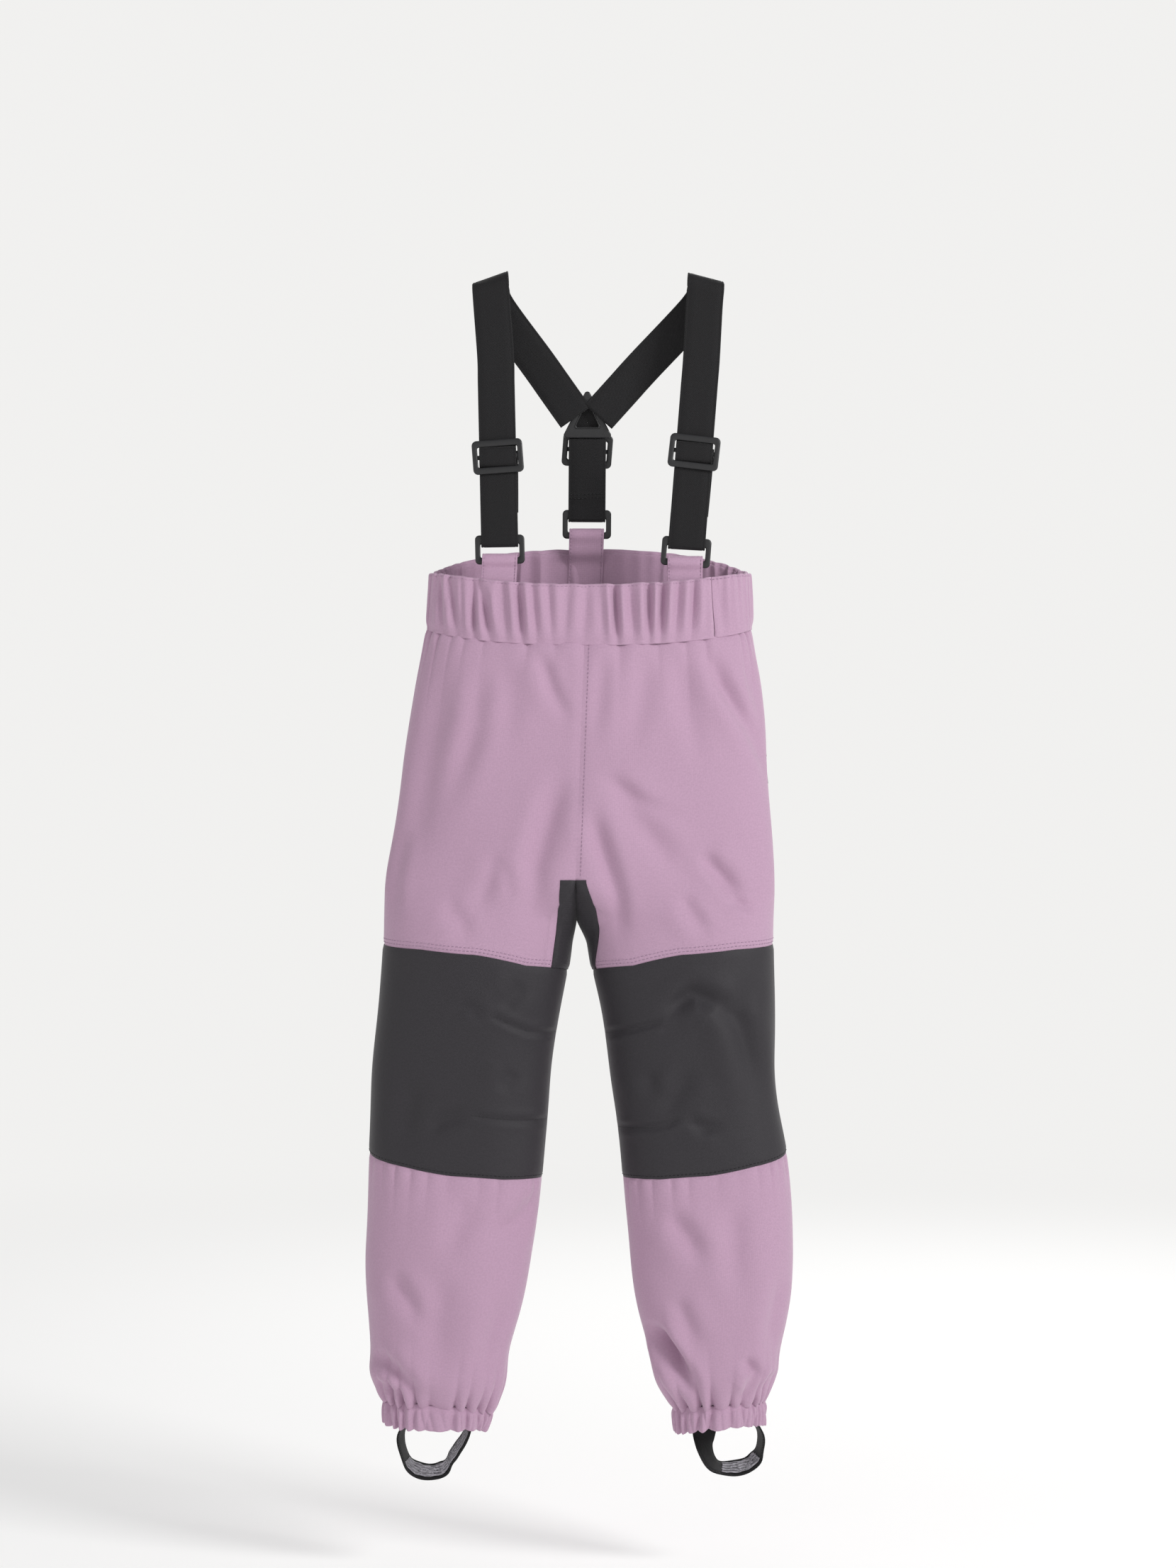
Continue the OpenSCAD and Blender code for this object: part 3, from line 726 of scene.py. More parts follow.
def cloth(name, made_of, dressing, thickness=CLOTH_T):
    """A panel of the garment, with its border turned in."""
    grid, faces, vertices, uv, normals = made_of
    normals = normals.reshape(-1, 3)
    vertices, faces, uv, border = turn_in(vertices, face_out(faces, vertices, normals), uv, normals)
    made = new_object(name, vertices, faces)
    crisp(made, border)
    set_uv(made, uv)
    dress(made, *dressing)
    thicken(made, thickness)
    area, length = sum_area(made) * EASE, widest(grid, 1)
    width = max(widest(grid, 0), area / length)
    area = min(max(area, 0.32 * width * length), 0.99 * width * length)


# ------------------------------------------------------------------ materials
def linear(c):
    c /= 255
    return c / 12.92 if c <= 0.04045 else ((c + 0.055) / 1.055) ** 2.4


def material(name, colour, rough, space, tint, bumps, **constants):
    """A principled material. tint is the size and detail of a noise and the shades it runs between;
    each bump is ("ribs", period, angle, distortion, depth, strength) or ("noise", size, detail, depth,
    strength), in metres."""
    made = bpy.data.materials.new(name)
    made.use_nodes = True
    nodes, links = made.node_tree.nodes, made.node_tree.links
    bsdf = next(n for n in nodes if n.type == "BSDF_PRINCIPLED")
    base = [linear(c) for c in colour]
    bsdf.inputs["Base Color"].default_value = (*base, 1)
    bsdf.inputs["Roughness"].default_value = rough
    for key, value in constants.items():
        bsdf.inputs[key.replace("_", " ")].default_value = value
    coordinates = nodes.new("ShaderNodeTexCoord")

    def texture(kind, values, angle=0.0):
        tex = nodes.new(kind)
        for key, value in values.items():
            tex.inputs[key].default_value = value
        mapping = nodes.new("ShaderNodeMapping")
        mapping.inputs["Rotation"].default_value = (0, 0, math.radians(angle))
        links.new(coordinates.outputs[space], mapping.inputs["Vector"])
        links.new(mapping.outputs["Vector"], tex.inputs["Vector"])
        return tex.outputs["Fac"]

    def noise(size, detail):
        return texture("ShaderNodeTexNoise", {"Scale": 1 / size, "Detail": detail})

    def ribs(period, angle, distortion):
        values = {"Scale": 2 * math.pi / (20 * period), "Distortion": distortion}
        return texture("ShaderNodeTexWave", values, angle)

    size, detail, dark, light = tint
    pattern = noise(size, detail)
    ramp = nodes.new("ShaderNodeValToRGB")
    for stop, place, shade in zip(ramp.color_ramp.elements, (0.35, 0.65), (dark, light)):
        stop.position = place
        stop.color = [min(1, c * shade) for c in base] + [1]
    links.new(pattern, ramp.inputs["Fac"])
    links.new(ramp.outputs["Color"], bsdf.inputs["Base Color"])
    last = None
    for kind, *shape, depth, strength in bumps:
        height = ribs(*shape) if kind == "ribs" else noise(*shape)
        bump = nodes.new("ShaderNodeBump")
        bump.inputs["Distance"].default_value = depth
        bump.inputs["Strength"].default_value = strength
        links.new(height, bump.inputs["Height"])
        if last:
            links.new(last, bump.inputs["Normal"])
        last = bump.outputs["Normal"]
    links.new(last, bsdf.inputs["Normal"])
    return made


shell = material(
    "purple shell cloth", (178, 145, 169), 0.78, "UV", (0.0016, 4, 0.955, 1.045),
    [("ribs", 0.0009, 0, 0.6, 0.00008, 0.5), ("ribs", 0.0009, 90, 0.6, 0.00008, 0.5),
     ("noise", 0.012, 3, 0.0008, 0.35)], Sheen_Weight=0.25, Sheen_Roughness=0.5, Specular_IOR_Level=0.35)
patch = material(
    "black patch cloth", (39, 36, 41), 0.62, "UV", (0.0014, 4, 0.85, 1.15),
    [("ribs", 0.0008, 45, 0.4, 0.0001, 0.6), ("ribs", 0.0008, -45, 0.4, 0.00006, 0.4),
     ("noise", 0.014, 3, 0.0008, 0.3)], Sheen_Weight=0.12, Sheen_Roughness=0.45, Specular_IOR_Level=0.4)
webbing = material(
    "black elastic webbing", (17, 16, 18), 0.7, "UV", (0.0011, 4, 0.75, 1.3),
    [("ribs", 0.0011, 32, 0.5, 0.00016, 0.8), ("ribs", 0.0007, 90, 0.5, 0.0001, 0.5)],
    Sheen_Weight=0.15, Sheen_Roughness=0.4, Specular_IOR_Level=0.3)
elastic = material(
    "grey knitted elastic", (38, 37, 40), 0.75, "UV", (0.001, 3, 0.8, 1.2),
    [("ribs", 0.0009, 90, 0.4, 0.0001, 0.6), ("ribs", 0.0022, 0, 0.3, 0.0001, 0.4)], Sheen_Weight=0.1)
grip = material("pale grip yarn", (200, 196, 205), 0.55, "Object", (0.002, 3, 0.8, 1.05),
                [("noise", 0.0008, 2, 0.0002, 0.6)])
plastic = material("black moulded plastic", (27, 27, 29), 0.42, "Object", (0.004, 3, 0.92, 1.08),
                   [("noise", 0.0007, 3, 0.00005, 0.5)], Specular_IOR_Level=0.5)
lining = material(
    "dark pocket lining", (40, 36, 42), 0.85, "UV", (0.0015, 3, 0.85, 1.15),
    [("ribs", 0.0012, 0, 0.5, 0.00008, 0.5), ("ribs", 0.0012, 90, 0.5, 0.00008, 0.5)])
tape = material("black zip tape", (26, 25, 28), 0.75, "UV", (0.001, 3, 0.8, 1.2),
                [("ribs", 0.0009, 0, 0.4, 0.0001, 0.6)])
metal = material("blackened zip metal", (58, 56, 60), 0.34, "Object", (0.003, 3, 0.85, 1.15),
                 [("noise", 0.0005, 2, 0.00003, 0.5)], Metallic=0.9)
thread = material("purple sewing thread", (158, 122, 152), 0.6, "Object", (0.0008, 2, 0.9, 1.1),
                  [("ribs", 0.0006, 45, 0.5, 0.00005, 0.6)], Sheen_Weight=0.3)
dark_thread = material("black sewing thread", (24, 23, 26), 0.6, "Object", (0.0008, 2, 0.85, 1.2),
                       [("ribs", 0.0006, 45, 0.5, 0.00005, 0.6)])
# each material with its slot, as dress wants them
SHELL, PATCH, ELASTIC = (shell, "purple_shell"), (patch, "black_patch"), (elastic, "elastic")
WEBBING, THREAD, DARK_THREAD = (webbing, "webbing"), (thread, "purple_shell"), (dark_thread, "black_patch")


# ------------------------------------------------------------------ trousers
# A span from the crotch up to the outer hip between the hips and a thigh, one across the knee between a thigh
# and a shin; no piece is bound to these bodies.
def over_hip(side):
    return "trousers", f"thigh_{side}", ((0, 0, CROTCH_Z), (30 * SIDES[side], 0, CROTCH_Z - 60))


def over_knee(side):
    return f"thigh_{side}", f"shin_{side}", ((0, 0, KNEE_Z + 55), (0, 0, KNEE_Z - 55))


def seat_line(t):
    """Upper edge of the seat patch."""
    return np.interp(np.asarray(t, float) * 90 / 135, [38.6, 43, 53, 90], [-484, -436, -392, -380])


def insert_back(t):
    """Lower edge of the black insert, behind."""
    return np.interp(t, [58, 96, 150, 180], [-492, -510, -545, -563])


def insert_bottom(t):
    return np.where(t < 180, insert_back(t), patch_top(t))


def gather_line(t):
    return np.full(np.shape(t), float(GATHER_Z))


for side in SIDES:
    hip, knee, line = over_hip(side), over_knee(side), np.linspace

    def waist_line(t, side=side):
        return waist_seam(hip_angle(side, t))

    cloth(f"front_panel_{side}_cloth",
          split_panel(side, line(225, 360, 130), line(201, 221, 14), waist_line, patch_top, 90, 30,
                      inner_edge(side)),
          (*SHELL, hip, [f"front_panel_{side}", f"thigh_front_{side}"]))
    cloth(f"back_panel_{side}_cloth",
          split_panel(side, line(0, 135, 110), line(137, 180, 26), waist_line, back_seam, 80, 26),
          (*SHELL, hip, [f"back_panel_{side}", f"thigh_back_{side}"]))
    cloth(f"seat_patch_{side}", plain_panel(side, line(58, 135, 62), seat_line, insert_back, 56, 1.5),
          (*PATCH, hip, [f"seat_panel_{side}"]), 1.2)
    cloth(f"inner_thigh_{side}_cloth",
          plain_panel(side, line(135, 222, 64), arch, insert_bottom, 36, 1.3, insert_edge(side)),
          (*PATCH, hip, [f"inner_thigh_{side}"]), 1.2)
    cloth(f"knee_patch_{side}", plain_panel(side, line(180, 360, 130), patch_top, patch_bottom, 84, 0.5),
          (*PATCH, knee, [f"knee_patch_upper_{side}", f"knee_patch_lower_{side}"]))
    cloth(f"shin_front_{side}_cloth", plain_panel(side, line(180, 360, 150), patch_bottom, gather_line, 92),
          (*SHELL, f"shin_{side}", [f"shin_front_{side}"]))
    cloth(f"leg_back_{side}_cloth", plain_panel(side, line(0, 180, 124), back_seam, gather_line, 140),
          (*SHELL, knee, [f"shin_back_{side}"]))


# ------------------------------------------------------------------ stitches
STITCH_FACES = [(0, 1, 2), (0, 2, 3), (1, 4, 5, 2), (2, 5, 6, 3), (4, 7, 5), (5, 7, 6), (0, 3, 1),
                (1, 3, 6, 4), (4, 6, 7)]


def stitches(name, points, normals, dressing, length=2.3, gap=1.0, width=0.55):
    """A row of short raised stitches along a chain of points."""
    points, normals = np.asarray(points, float), np.asarray(normals, float)
    along = distances(points)
    vertices, faces = [], []
    for i in range(int(along[-1] // (length + gap))):
        s = [i * (length + gap) + k * length for k in (0, 0.15, 0.85, 1)]
        start, rise, fall, end = np.array([[np.interp(v, along, points[:, c]) for c in range(3)] for v in s])
        up = unit([np.interp(s[1], along, normals[:, c]) for c in range(3)])
        wide = np.cross(unit(end - start), up) * width / 2
        faces += [tuple(len(vertices) + k for k in face) for face in STITCH_FACES]
        vertices += [start - up * 0.1, rise + wide, rise + up * 0.42, rise - wide,
                     fall + wide, fall + up * 0.42, fall - wide, end - up * 0.1]
    dress(new_object(name, vertices, faces), *dressing)


def unit(v):
    v = np.asarray(v, float)
    return v / np.linalg.norm(v)


def seam_stitches(name, side, t, z, dressing, lift, pinch):
    t, z = np.broadcast_arrays(np.asarray(t, float), np.asarray(z, float))
    points = point(side, t, z, lift + 0.05, np.full(t.shape, float(pinch)))
    stitches(name, points, normal(side, t, z), dressing)


steps = np.linspace(0, 1, 160)
for side in SIDES:
    t = 182 + 176 * steps
    for row, gap in enumerate((2.6, 5.4)):
        seam_stitches(f"patch_top_stitches_{side}_{row}", side, t, patch_top(t) + gap,
                      (*THREAD, over_hip(side)), 0.0, gap)
    seam_stitches(f"patch_bottom_stitches_{side}", side, t, patch_bottom(t) + 2.2,
                  (*DARK_THREAD, f"shin_{side}"), 0.5, 2.2)
    if side == "left":
        z = -296 + (ARCH_TOP + 296) * steps
        seam_stitches("centre_seam_stitches", side, 225 + 2.6 / mm_per_degree(side, 229.0, z), z,
                      (*THREAD, "trousers"), 0.0, 2.6)
    t = 60 + 74 * steps
    seam_stitches(f"seat_stitches_{side}", side, t, seat_line(t) - 2.4, (*DARK_THREAD, over_hip(side)),
                  1.5, 2.4)

# the darts that shape the knees: a sewn line in each valley
for number, (chain, *_) in enumerate(DARTS):
    side = "right" if chain[0][0] < 0 else "left"
    chain = np.array(chain, float)
    along = distances(chain)
    x, z = (np.interp(np.linspace(0.5, along[-1], 70), along, chain[:, c]) for c in (0, 1))
    t = angle_at(side, x, z, np.linspace(186, 354, 900), 3)
    stitches(f"knee_dart_seam_{number}", point(side, t, z, 0.35), normal(side, t, z),
             (*DARK_THREAD, over_knee(side)), 2.6, 0.3, 0.9)


# ------------------------------------------------------------------ waistband
# Pleats of the front band seen in the picture: x at the top, x at the bottom, depth, width
PLEATS = [
    (-120, -117, 1.7, 1.8), (-112, -106, 2.6, 2.2), (-102, -100, 1.2, 2.0), (-93.5, -91, 4.3, 2.0),
    (-88, -79, 3.6, 2.4), (-68, -66, 1.4, 2.6), (-56, -53, 4.6, 2.2), (-45, -41, 1.9, 2.6),
    (-32, -29, 1.7, 2.4), (-15, -19, 1.0, 3.0), (-1, -4, 1.7, 3.2), (9, 12, 1.2, 2.6),
    (21, 23.5, 4.6, 1.8), (33, 37, 1.7, 2.2), (49, 49.5, 4.0, 2.0), (60, 58, 4.0, 2.2),
    (73, 70, 1.9, 2.6), (86, 83, 2.6, 2.2), (104, 110, 1.7, 3.5),
]


def pleats(x, share):
    """Sharp valleys between soft rounds, down the front band."""
    d = np.zeros(np.broadcast(x, share).shape)
    for top, bottom, depth, width in PLEATS:
        s = (x - bottom - (top - bottom) * share) / (1.25 * width)
        d = d - depth * np.exp(-np.abs(s) ** 1.4) + 0.4 * depth * np.exp(-((np.abs(s) - 2.4) / 1.2) ** 2)
    return d


def band_point(phi, share, over, lift):
    """Waistband: share 0 at its seam to 1 at its top, over is millimetres above that."""
    low, high = waist_seam(phi), waist_top(phi)
    z = low + (high - low) * share + over
    x, y = hip_xy(phi, z)
    n = hip_normal(phi, np.minimum(z, WAIST_TOP_FRONT - 12))
    swing = 2.2 * np.sin(np.radians(phi * 7)) * (share - 0.3)
    gather = hip_waves(phi + swing)
    fine = 0.5 * np.sin(np.radians(phi * 61 + 40 * np.sin(np.radians(phi * 9)))) * share
    a = np.radians(phi)
    front = smoothstep((-np.sin(a) - 0.1) * 4)
    strength = (3.4 + 1.0 * np.sin(3 * a + 0.5) + 0.8 * np.sin(8 * a)) * (1 - 0.8 * front)
    bulge = np.interp(share, [0, 0.1, 0.22, 0.55, 0.86, 1], [0.25, 0.4, 0.85, 1.15, 1.0, 0.7])
    d = (strength * gather + 1.3 * front * pleats(x, share)) * bulge + fine
    d = d - 1.5 * np.exp(-(np.clip(share, 0, 1) * (high - low) / 2.6) ** 2)
    z = z + 0.9 * gather * np.clip(share, 0, 1) ** 3
    return np.stack([x, y, z], -1) + n * (d + lift)[..., None]


def band_normal(phi):
    return hip_normal(phi, np.full(phi.shape, -260.0))


def waist_piece(name, low_phi, high_phi, rows, thickness, dressing, outward=1, closed=False):
    phi = np.linspace(low_phi, high_phi, int((high_phi - low_phi) / 0.6), endpoint=not closed)
    share, over, lift = np.array(rows).T
    grid = band_point(phi[:, None], share[None], over[None], lift[None])
    n = band_normal(phi)
    if not closed:
        end = np.minimum(phi - phi[0], phi[-1] - phi)[:, None] * 2.2
        grid = grid - n[:, None] * (1.1 * np.exp(-(end / 2.4) ** 2))[..., None]
    made = skin_mesh(name, grid, np.repeat(outward * n, len(rows), axis=0), thickness, dressing, closed)


OUTER_ROWS = [(0, -1.7, -0.8), (0, -1.6, 0.7), (0, -0.6, 0.8)]
OUTER_ROWS += [(share, 0.3, 0.6) for share in np.linspace(0.02, 0.985, 17)]
OUTER_ROWS += [(1, 0.5, 0.0), (1, 0.7, -1.4), (1, 0.2, -2.8), (1, -1.6, -3.4), (1, -4, -3.5)]
for name, low_phi, high_phi in (("front", 190, 316), ("back", 316, 550)):
    waist_piece(f"waistband_{name}_cloth", low_phi, high_phi, OUTER_ROWS, 1.5,
                (*SHELL, "trousers", [f"waistband_{name}"]))
waist_piece("waistband_lining", 0, 360, [(share, -0.8, -4.3) for share in np.linspace(0.02, 0.97, 14)], 1.0,
            (*SHELL, "trousers", ["waistband_facing"]), -1, True)
waist_piece("waist_elastic_band", 0, 360, [(share, 0, -1.6) for share in np.linspace(0.12, 0.86, 8)], 0.9,
            (*ELASTIC, "trousers", ["waist_elastic"]), 1, True)
phi = np.linspace(0, 360, 900)
for label, share, over in (("lower", 0.0, 3.2), ("top", 1.0, -1.6)):
    stitches(f"waistband_{label}_stitches", band_point(phi, share, over, 0.52), band_normal(phi),
             (*THREAD, "trousers"))


# ------------------------------------------------------------------ cuffs
CUFF_DROP = 20


def cuff_point(side, t, down, lift):
    """down is millimetres below the seam to the leg."""
    level = GATHER_Z + 0 * t
    seed = {"left": 1.1, "right": 3.0}[side]
    a = np.radians(t)
    share = np.clip(down / CUFF_DROP, 0, 1)
    twist = 5.0 * np.sin(3 * a + seed) * down / CUFF_DROP
    ripple = cuff_waves(side, t + twist)
    small = waves(t - twist, side, 41, seed)
    size = 6.6 - 1.6 * np.sin(np.pi * share) + 2.0 * np.sin(4 * a + seed)
    d = -2.8 + size * ripple + 1.9 * small * np.clip(down / 6, 0, 1)
    d = d - 2.6 * np.exp(-(down / 3.5) ** 2) + 1.3 * np.sin(np.pi * share)
    d = np.where(d < -2.5, -2.5 + (d + 2.5) * 0.35, d)     # the ankle keeps the creases from going deep
    narrow = {"left": 1.5, "right": 6.0}[side]
    d = d - narrow * share * np.clip(-np.cos(a), 0, 1)
    x, y = leg_xy(side, t, level)
    z = GATHER_Z - down
    z = z - ((2.2 * ripple + 1.8 * np.sin(2 * a + seed)) * share - cuff_slope(side, t, z))
    return np.stack([x, y, z], -1) + normal(side, t, level) * (d + lift)[..., None]


CUFF_ROWS = [(down, 0.2) for down in np.linspace(0, CUFF_DROP, 13)]
CUFF_ROWS += [(20.6, -0.8), (20.2, -2.0), (18.5, -2.9), (15, -3.2)]
CUFF_ELASTIC_ROWS = [(down, -1.5) for down in np.linspace(3, 17, 6)]
t = np.linspace(0, 360, 420, endpoint=False)
for side in SIDES:
    for name, rows, thickness, look, replaced in (
            ("cuff_cloth", CUFF_ROWS, 1.0, SHELL, "cuff"),
            ("cuff_elastic_band", CUFF_ELASTIC_ROWS, 0.8, ELASTIC, "cuff_elastic")):
        down, lift = np.array(rows).T
        t_grid, down = np.broadcast_arrays(t[:, None], down[None])
        grid = cuff_point(side, t_grid, down, lift)
        n = np.repeat(normal(side, t, gather_line(t)), len(rows), axis=0)
        made = skin_mesh(f"{name}_{side}", grid, n, thickness,
                         (*look, f"shin_{side}", [f"{replaced}_{side}"]), True)


# ------------------------------------------------------------------ webbing and hardware
WEB = 30.0             # width of the webbing
WEB_T = 1.5
LAYER = 2.2            # each layer of webbing lies this far off the middle of a bar
PLASTIC = (plastic, "moulded_plastic")


class Local:
    """A part's own axes: at() turns its millimetres into the garment's."""

    def __init__(self, origin, x, y, z):
        self.origin, self.x, self.y, self.z = origin, x, y, z

    def at(self, points):
        points = np.asarray(points, float)
        return self.origin + points[..., :1] * self.x + points[..., 1:2] * self.y + points[..., 2:] * self.z

    def height(self, node, pick):
        return float(pick((node_points(node) - self.origin) @ self.z))


def brace_run(which):
    """The line of a brace up from its ring: x across, y to the back, z along it."""
    across, up = joint(f"ring_swing_{which}")["axis"], joint(f"adjuster_slide_{which}")["axis"]
    z = unit(up) * np.sign(up[2])
    x = unit(across) * np.sign(across[0])
    x = unit(x - z * np.dot(x, z))
    return Local(pivot(f"ring_swing_{which}"), x, np.cross(z, x), z)


def curve_through(points, step):
    """Smooth points and anything that goes with them: rows of numbers, the first three a place."""
    points = np.asarray(points, float)
    ends = np.concatenate([[2 * points[0] - points[1]], points, [2 * points[-1] - points[-2]]])
    out = []
    for a, b, c, d in zip(ends, ends[1:], ends[2:], ends[3:]):
        n = max(2, int(np.linalg.norm((c - b)[:3]) / step))
        for u in np.linspace(0, 1, n, endpoint=False):
            out.append(0.5 * (2 * b + (c - a) * u + (2 * a - 5 * b + 4 * c - d) * u**2
                              + (3 * b - a - 3 * c + d) * u**3))
    return np.array(out + [points[-1]])


def tube(name, rings, closed=False):
    """A mesh of rings of points, one after another, with flat ends unless it closes on itself."""
    n, m = rings.shape[:2]
    faces = ring_faces(n, m, closed)
    if not closed:
        faces += [tuple(range(m))[::-1], tuple((n - 1) * m + j for j in range(m))]
    made = new_object(name, rings.reshape(-1, 3), faces)
    edit_mesh(made)
    return made


def edit_mesh(made, bevel=0.0):
    """Turn the faces out, and round the edges off."""
    bm = bmesh.new()
    bm.from_mesh(made.data)
    bmesh.ops.recalc_face_normals(bm, faces=bm.faces)
    if bevel:
        bmesh.ops.bevel(bm, geom=bm.edges[:], offset=bevel * MM, segments=2, affect="EDGES")
    bm.to_mesh(made.data)
    bm.free()


def merge(name, made):
    """Join several finished meshes into one piece."""
    bm = bmesh.new()
    for part in made:
        bm.from_mesh(part.data)
    mesh = bpy.data.meshes.new(name)
    bm.to_mesh(mesh)
    bm.free()
    for part in made:
        bpy.data.objects.remove(part)
    return add(name, mesh)


def square_on(path, across):
    """Unit directions across a path and up from it, square to its run."""
    tangent = np.gradient(path, axis=0)
    tangent /= np.linalg.norm(tangent, axis=1, keepdims=True)
    across = across - tangent * (across * tangent).sum(1, keepdims=True)
    across /= np.linalg.norm(across, axis=1, keepdims=True)
    return across, np.cross(tangent, across)


def web_profile(width, thick):
    """Cross-section of woven webbing: rounded selvedges, a shallow groove just inside each."""
    half, t = width / 2, thick / 2
    top = [(half - 0.05, 0.35 * t), (half - 0.45, 0.9 * t), (half - 1.2, t), (half - 1.9, 0.62 * t),
           (half - 2.6, t), (half * 0.5, t), (0, t)]
    top += [(-u, v) for u, v in top[-2::-1]]
    return np.array(top + [(-u, -v) for u, v in top])


def ribbon(name, path, across, width, thick):
    """Webbing along a path; across is the direction of its width, at each point or all along."""
    across, up = square_on(path, np.broadcast_to(across, path.shape))
    shape = web_profile(width, thick)
    made = tube(name, path[:, None] + shape[None, :, :1] * across[:, None] + shape[None, :, 1:] * up[:, None])
    u, v = np.broadcast_arrays(shape[None, :, 0], distances(path)[:, None])
    set_uv(made, np.stack([u, v], -1).reshape(-1, 2) * MM)
    return made


def web_sheet(path):
    round(float(distances(path)[-1]) * MM, 4)


def rounded_loop(width, height, radius, centre=(0, 0)):
    points = []
    for turn, (sx, sz) in enumerate(((1, 1), (-1, 1), (-1, -1), (1, -1))):
        for a in np.radians(np.linspace(0, 90, 7) + 90 * turn):
            points.append((centre[0] + sx * (width / 2 - radius) + radius * math.cos(a),
                           centre[1] + sz * (height / 2 - radius) + radius * math.sin(a)))
    return np.array(points)


def soft_section(power):
    """Sixteen points round a square with rounded corners, from -1 to 1."""
    a = np.radians(np.linspace(0, 360, 16, endpoint=False))
    return np.stack([powered(np.cos(a), power), powered(np.sin(a), power)], -1)


def frame_mesh(name, outer, inner, depth, place):
    """A moulded frame between two loops with as many points each, its edges softened."""
    section = soft_section(0.5)
    middle, half = (outer + inner) / 2, (outer - inner) / 2
    flat = middle[:, None] + half[:, None] * section[None, :, :1]
    y = np.broadcast_to(section[None, :, 1:] * depth / 2, flat.shape[:2] + (1,))
    local = np.concatenate([flat[..., :1], y, flat[..., 1:]], -1)
    return tube(name, place(local.reshape(-1, 3)).reshape(local.shape), True)


def bar_mesh(name, length, height, depth, place):
    """A rounded bar along local x."""
    ring = soft_section(0.55) * [depth / 2, height / 2]
    points = np.array([[(x, y, z) for y, z in ring] for x in (-length / 2, length / 2)])
    return tube(name, place(points.reshape(-1, 3)).reshape(points.shape))


RUNS = {which: brace_run(which) for which in ("left", "right", "back")}
SLIDERS = {which: run.height(f"adjuster_{which}", np.mean) for which, run in RUNS.items()}
SLIDER_TILT = {"left": -2.0, "right": 3.0, "back": -4.0}
RING_LOW, RING_HIGH = -2.4, 21.4

for which, run in RUNS.items():
    outer = rounded_loop(40.0, RING_HIGH - RING_LOW, 3.6, (0, (RING_HIGH + RING_LOW) / 2))
    ring = frame_mesh(f"ring_{which}_loop", outer, rounded_loop(31.4, 11.0, 1.2, (0, 8.6)), 2.6, run.at)
    dress(ring, *PLASTIC, f"ring_{which}", [f"ring_{which}"])
    face = 1 if which == "back" else -1

    def on_slider(p, run=run, middle=SLIDERS[which], tilt=math.radians(SLIDER_TILT[which]),
                  y=face * (LAYER + WEB_T / 2 + 1.5)):
        c, s = math.cos(tilt), math.sin(tilt)
        return run.at(np.stack([p[:, 0] * c - p[:, 2] * s, p[:, 1] + y,
                                p[:, 0] * s + p[:, 2] * c + middle], -1))

    parts = [frame_mesh("frame", rounded_loop(41, 27.6, 4), rounded_loop(32.4, 16.6, 1.6), 2.8, on_slider),
             bar_mesh("bar", 34, 3.6, 1.8, on_slider)]
    dress(merge(f"adjuster_{which}_frame", parts), *PLASTIC, f"adjuster_{which}", [f"adjuster_{which}"])
    # the webbing over the slider's bar
    rise = [(2.1, 9.6), (2.6, 8.4), (5.6, 6.2), (6.5, 3)]
    hump = [(0, face * y, -z) for y, z in rise] + [(0, face * 6.6, 0)]
    hump += [(0, face * y, z) for y, z in rise[::-1]]
    path = run.at(curve_through(hump, 0.8) + [0, 0, SLIDERS[which]])
    bight = ribbon(f"adjuster_{which}_bight", path, run.x, WEB, 1.3)
    dress(bight, *WEBBING, f"adjuster_{which}")
    web_sheet(path)


def fold_round_bar(top):
    """Local path of webbing from the back layer, down round the ring's upper bar, to the front."""
    arc = [(0, LAYER * math.cos(a), 14.2 - LAYER * math.sin(a)) for a in np.radians(np.arange(0, 181, 22.5))]
    return [(0, LAYER, top), (0, LAYER, 26)] + arc + [(0, -LAYER, 26)]


def along_run(run, start, end):
    """A span between two heights on a brace's line."""
    return run.at((0, 0, start)), run.at((0, 0, end))


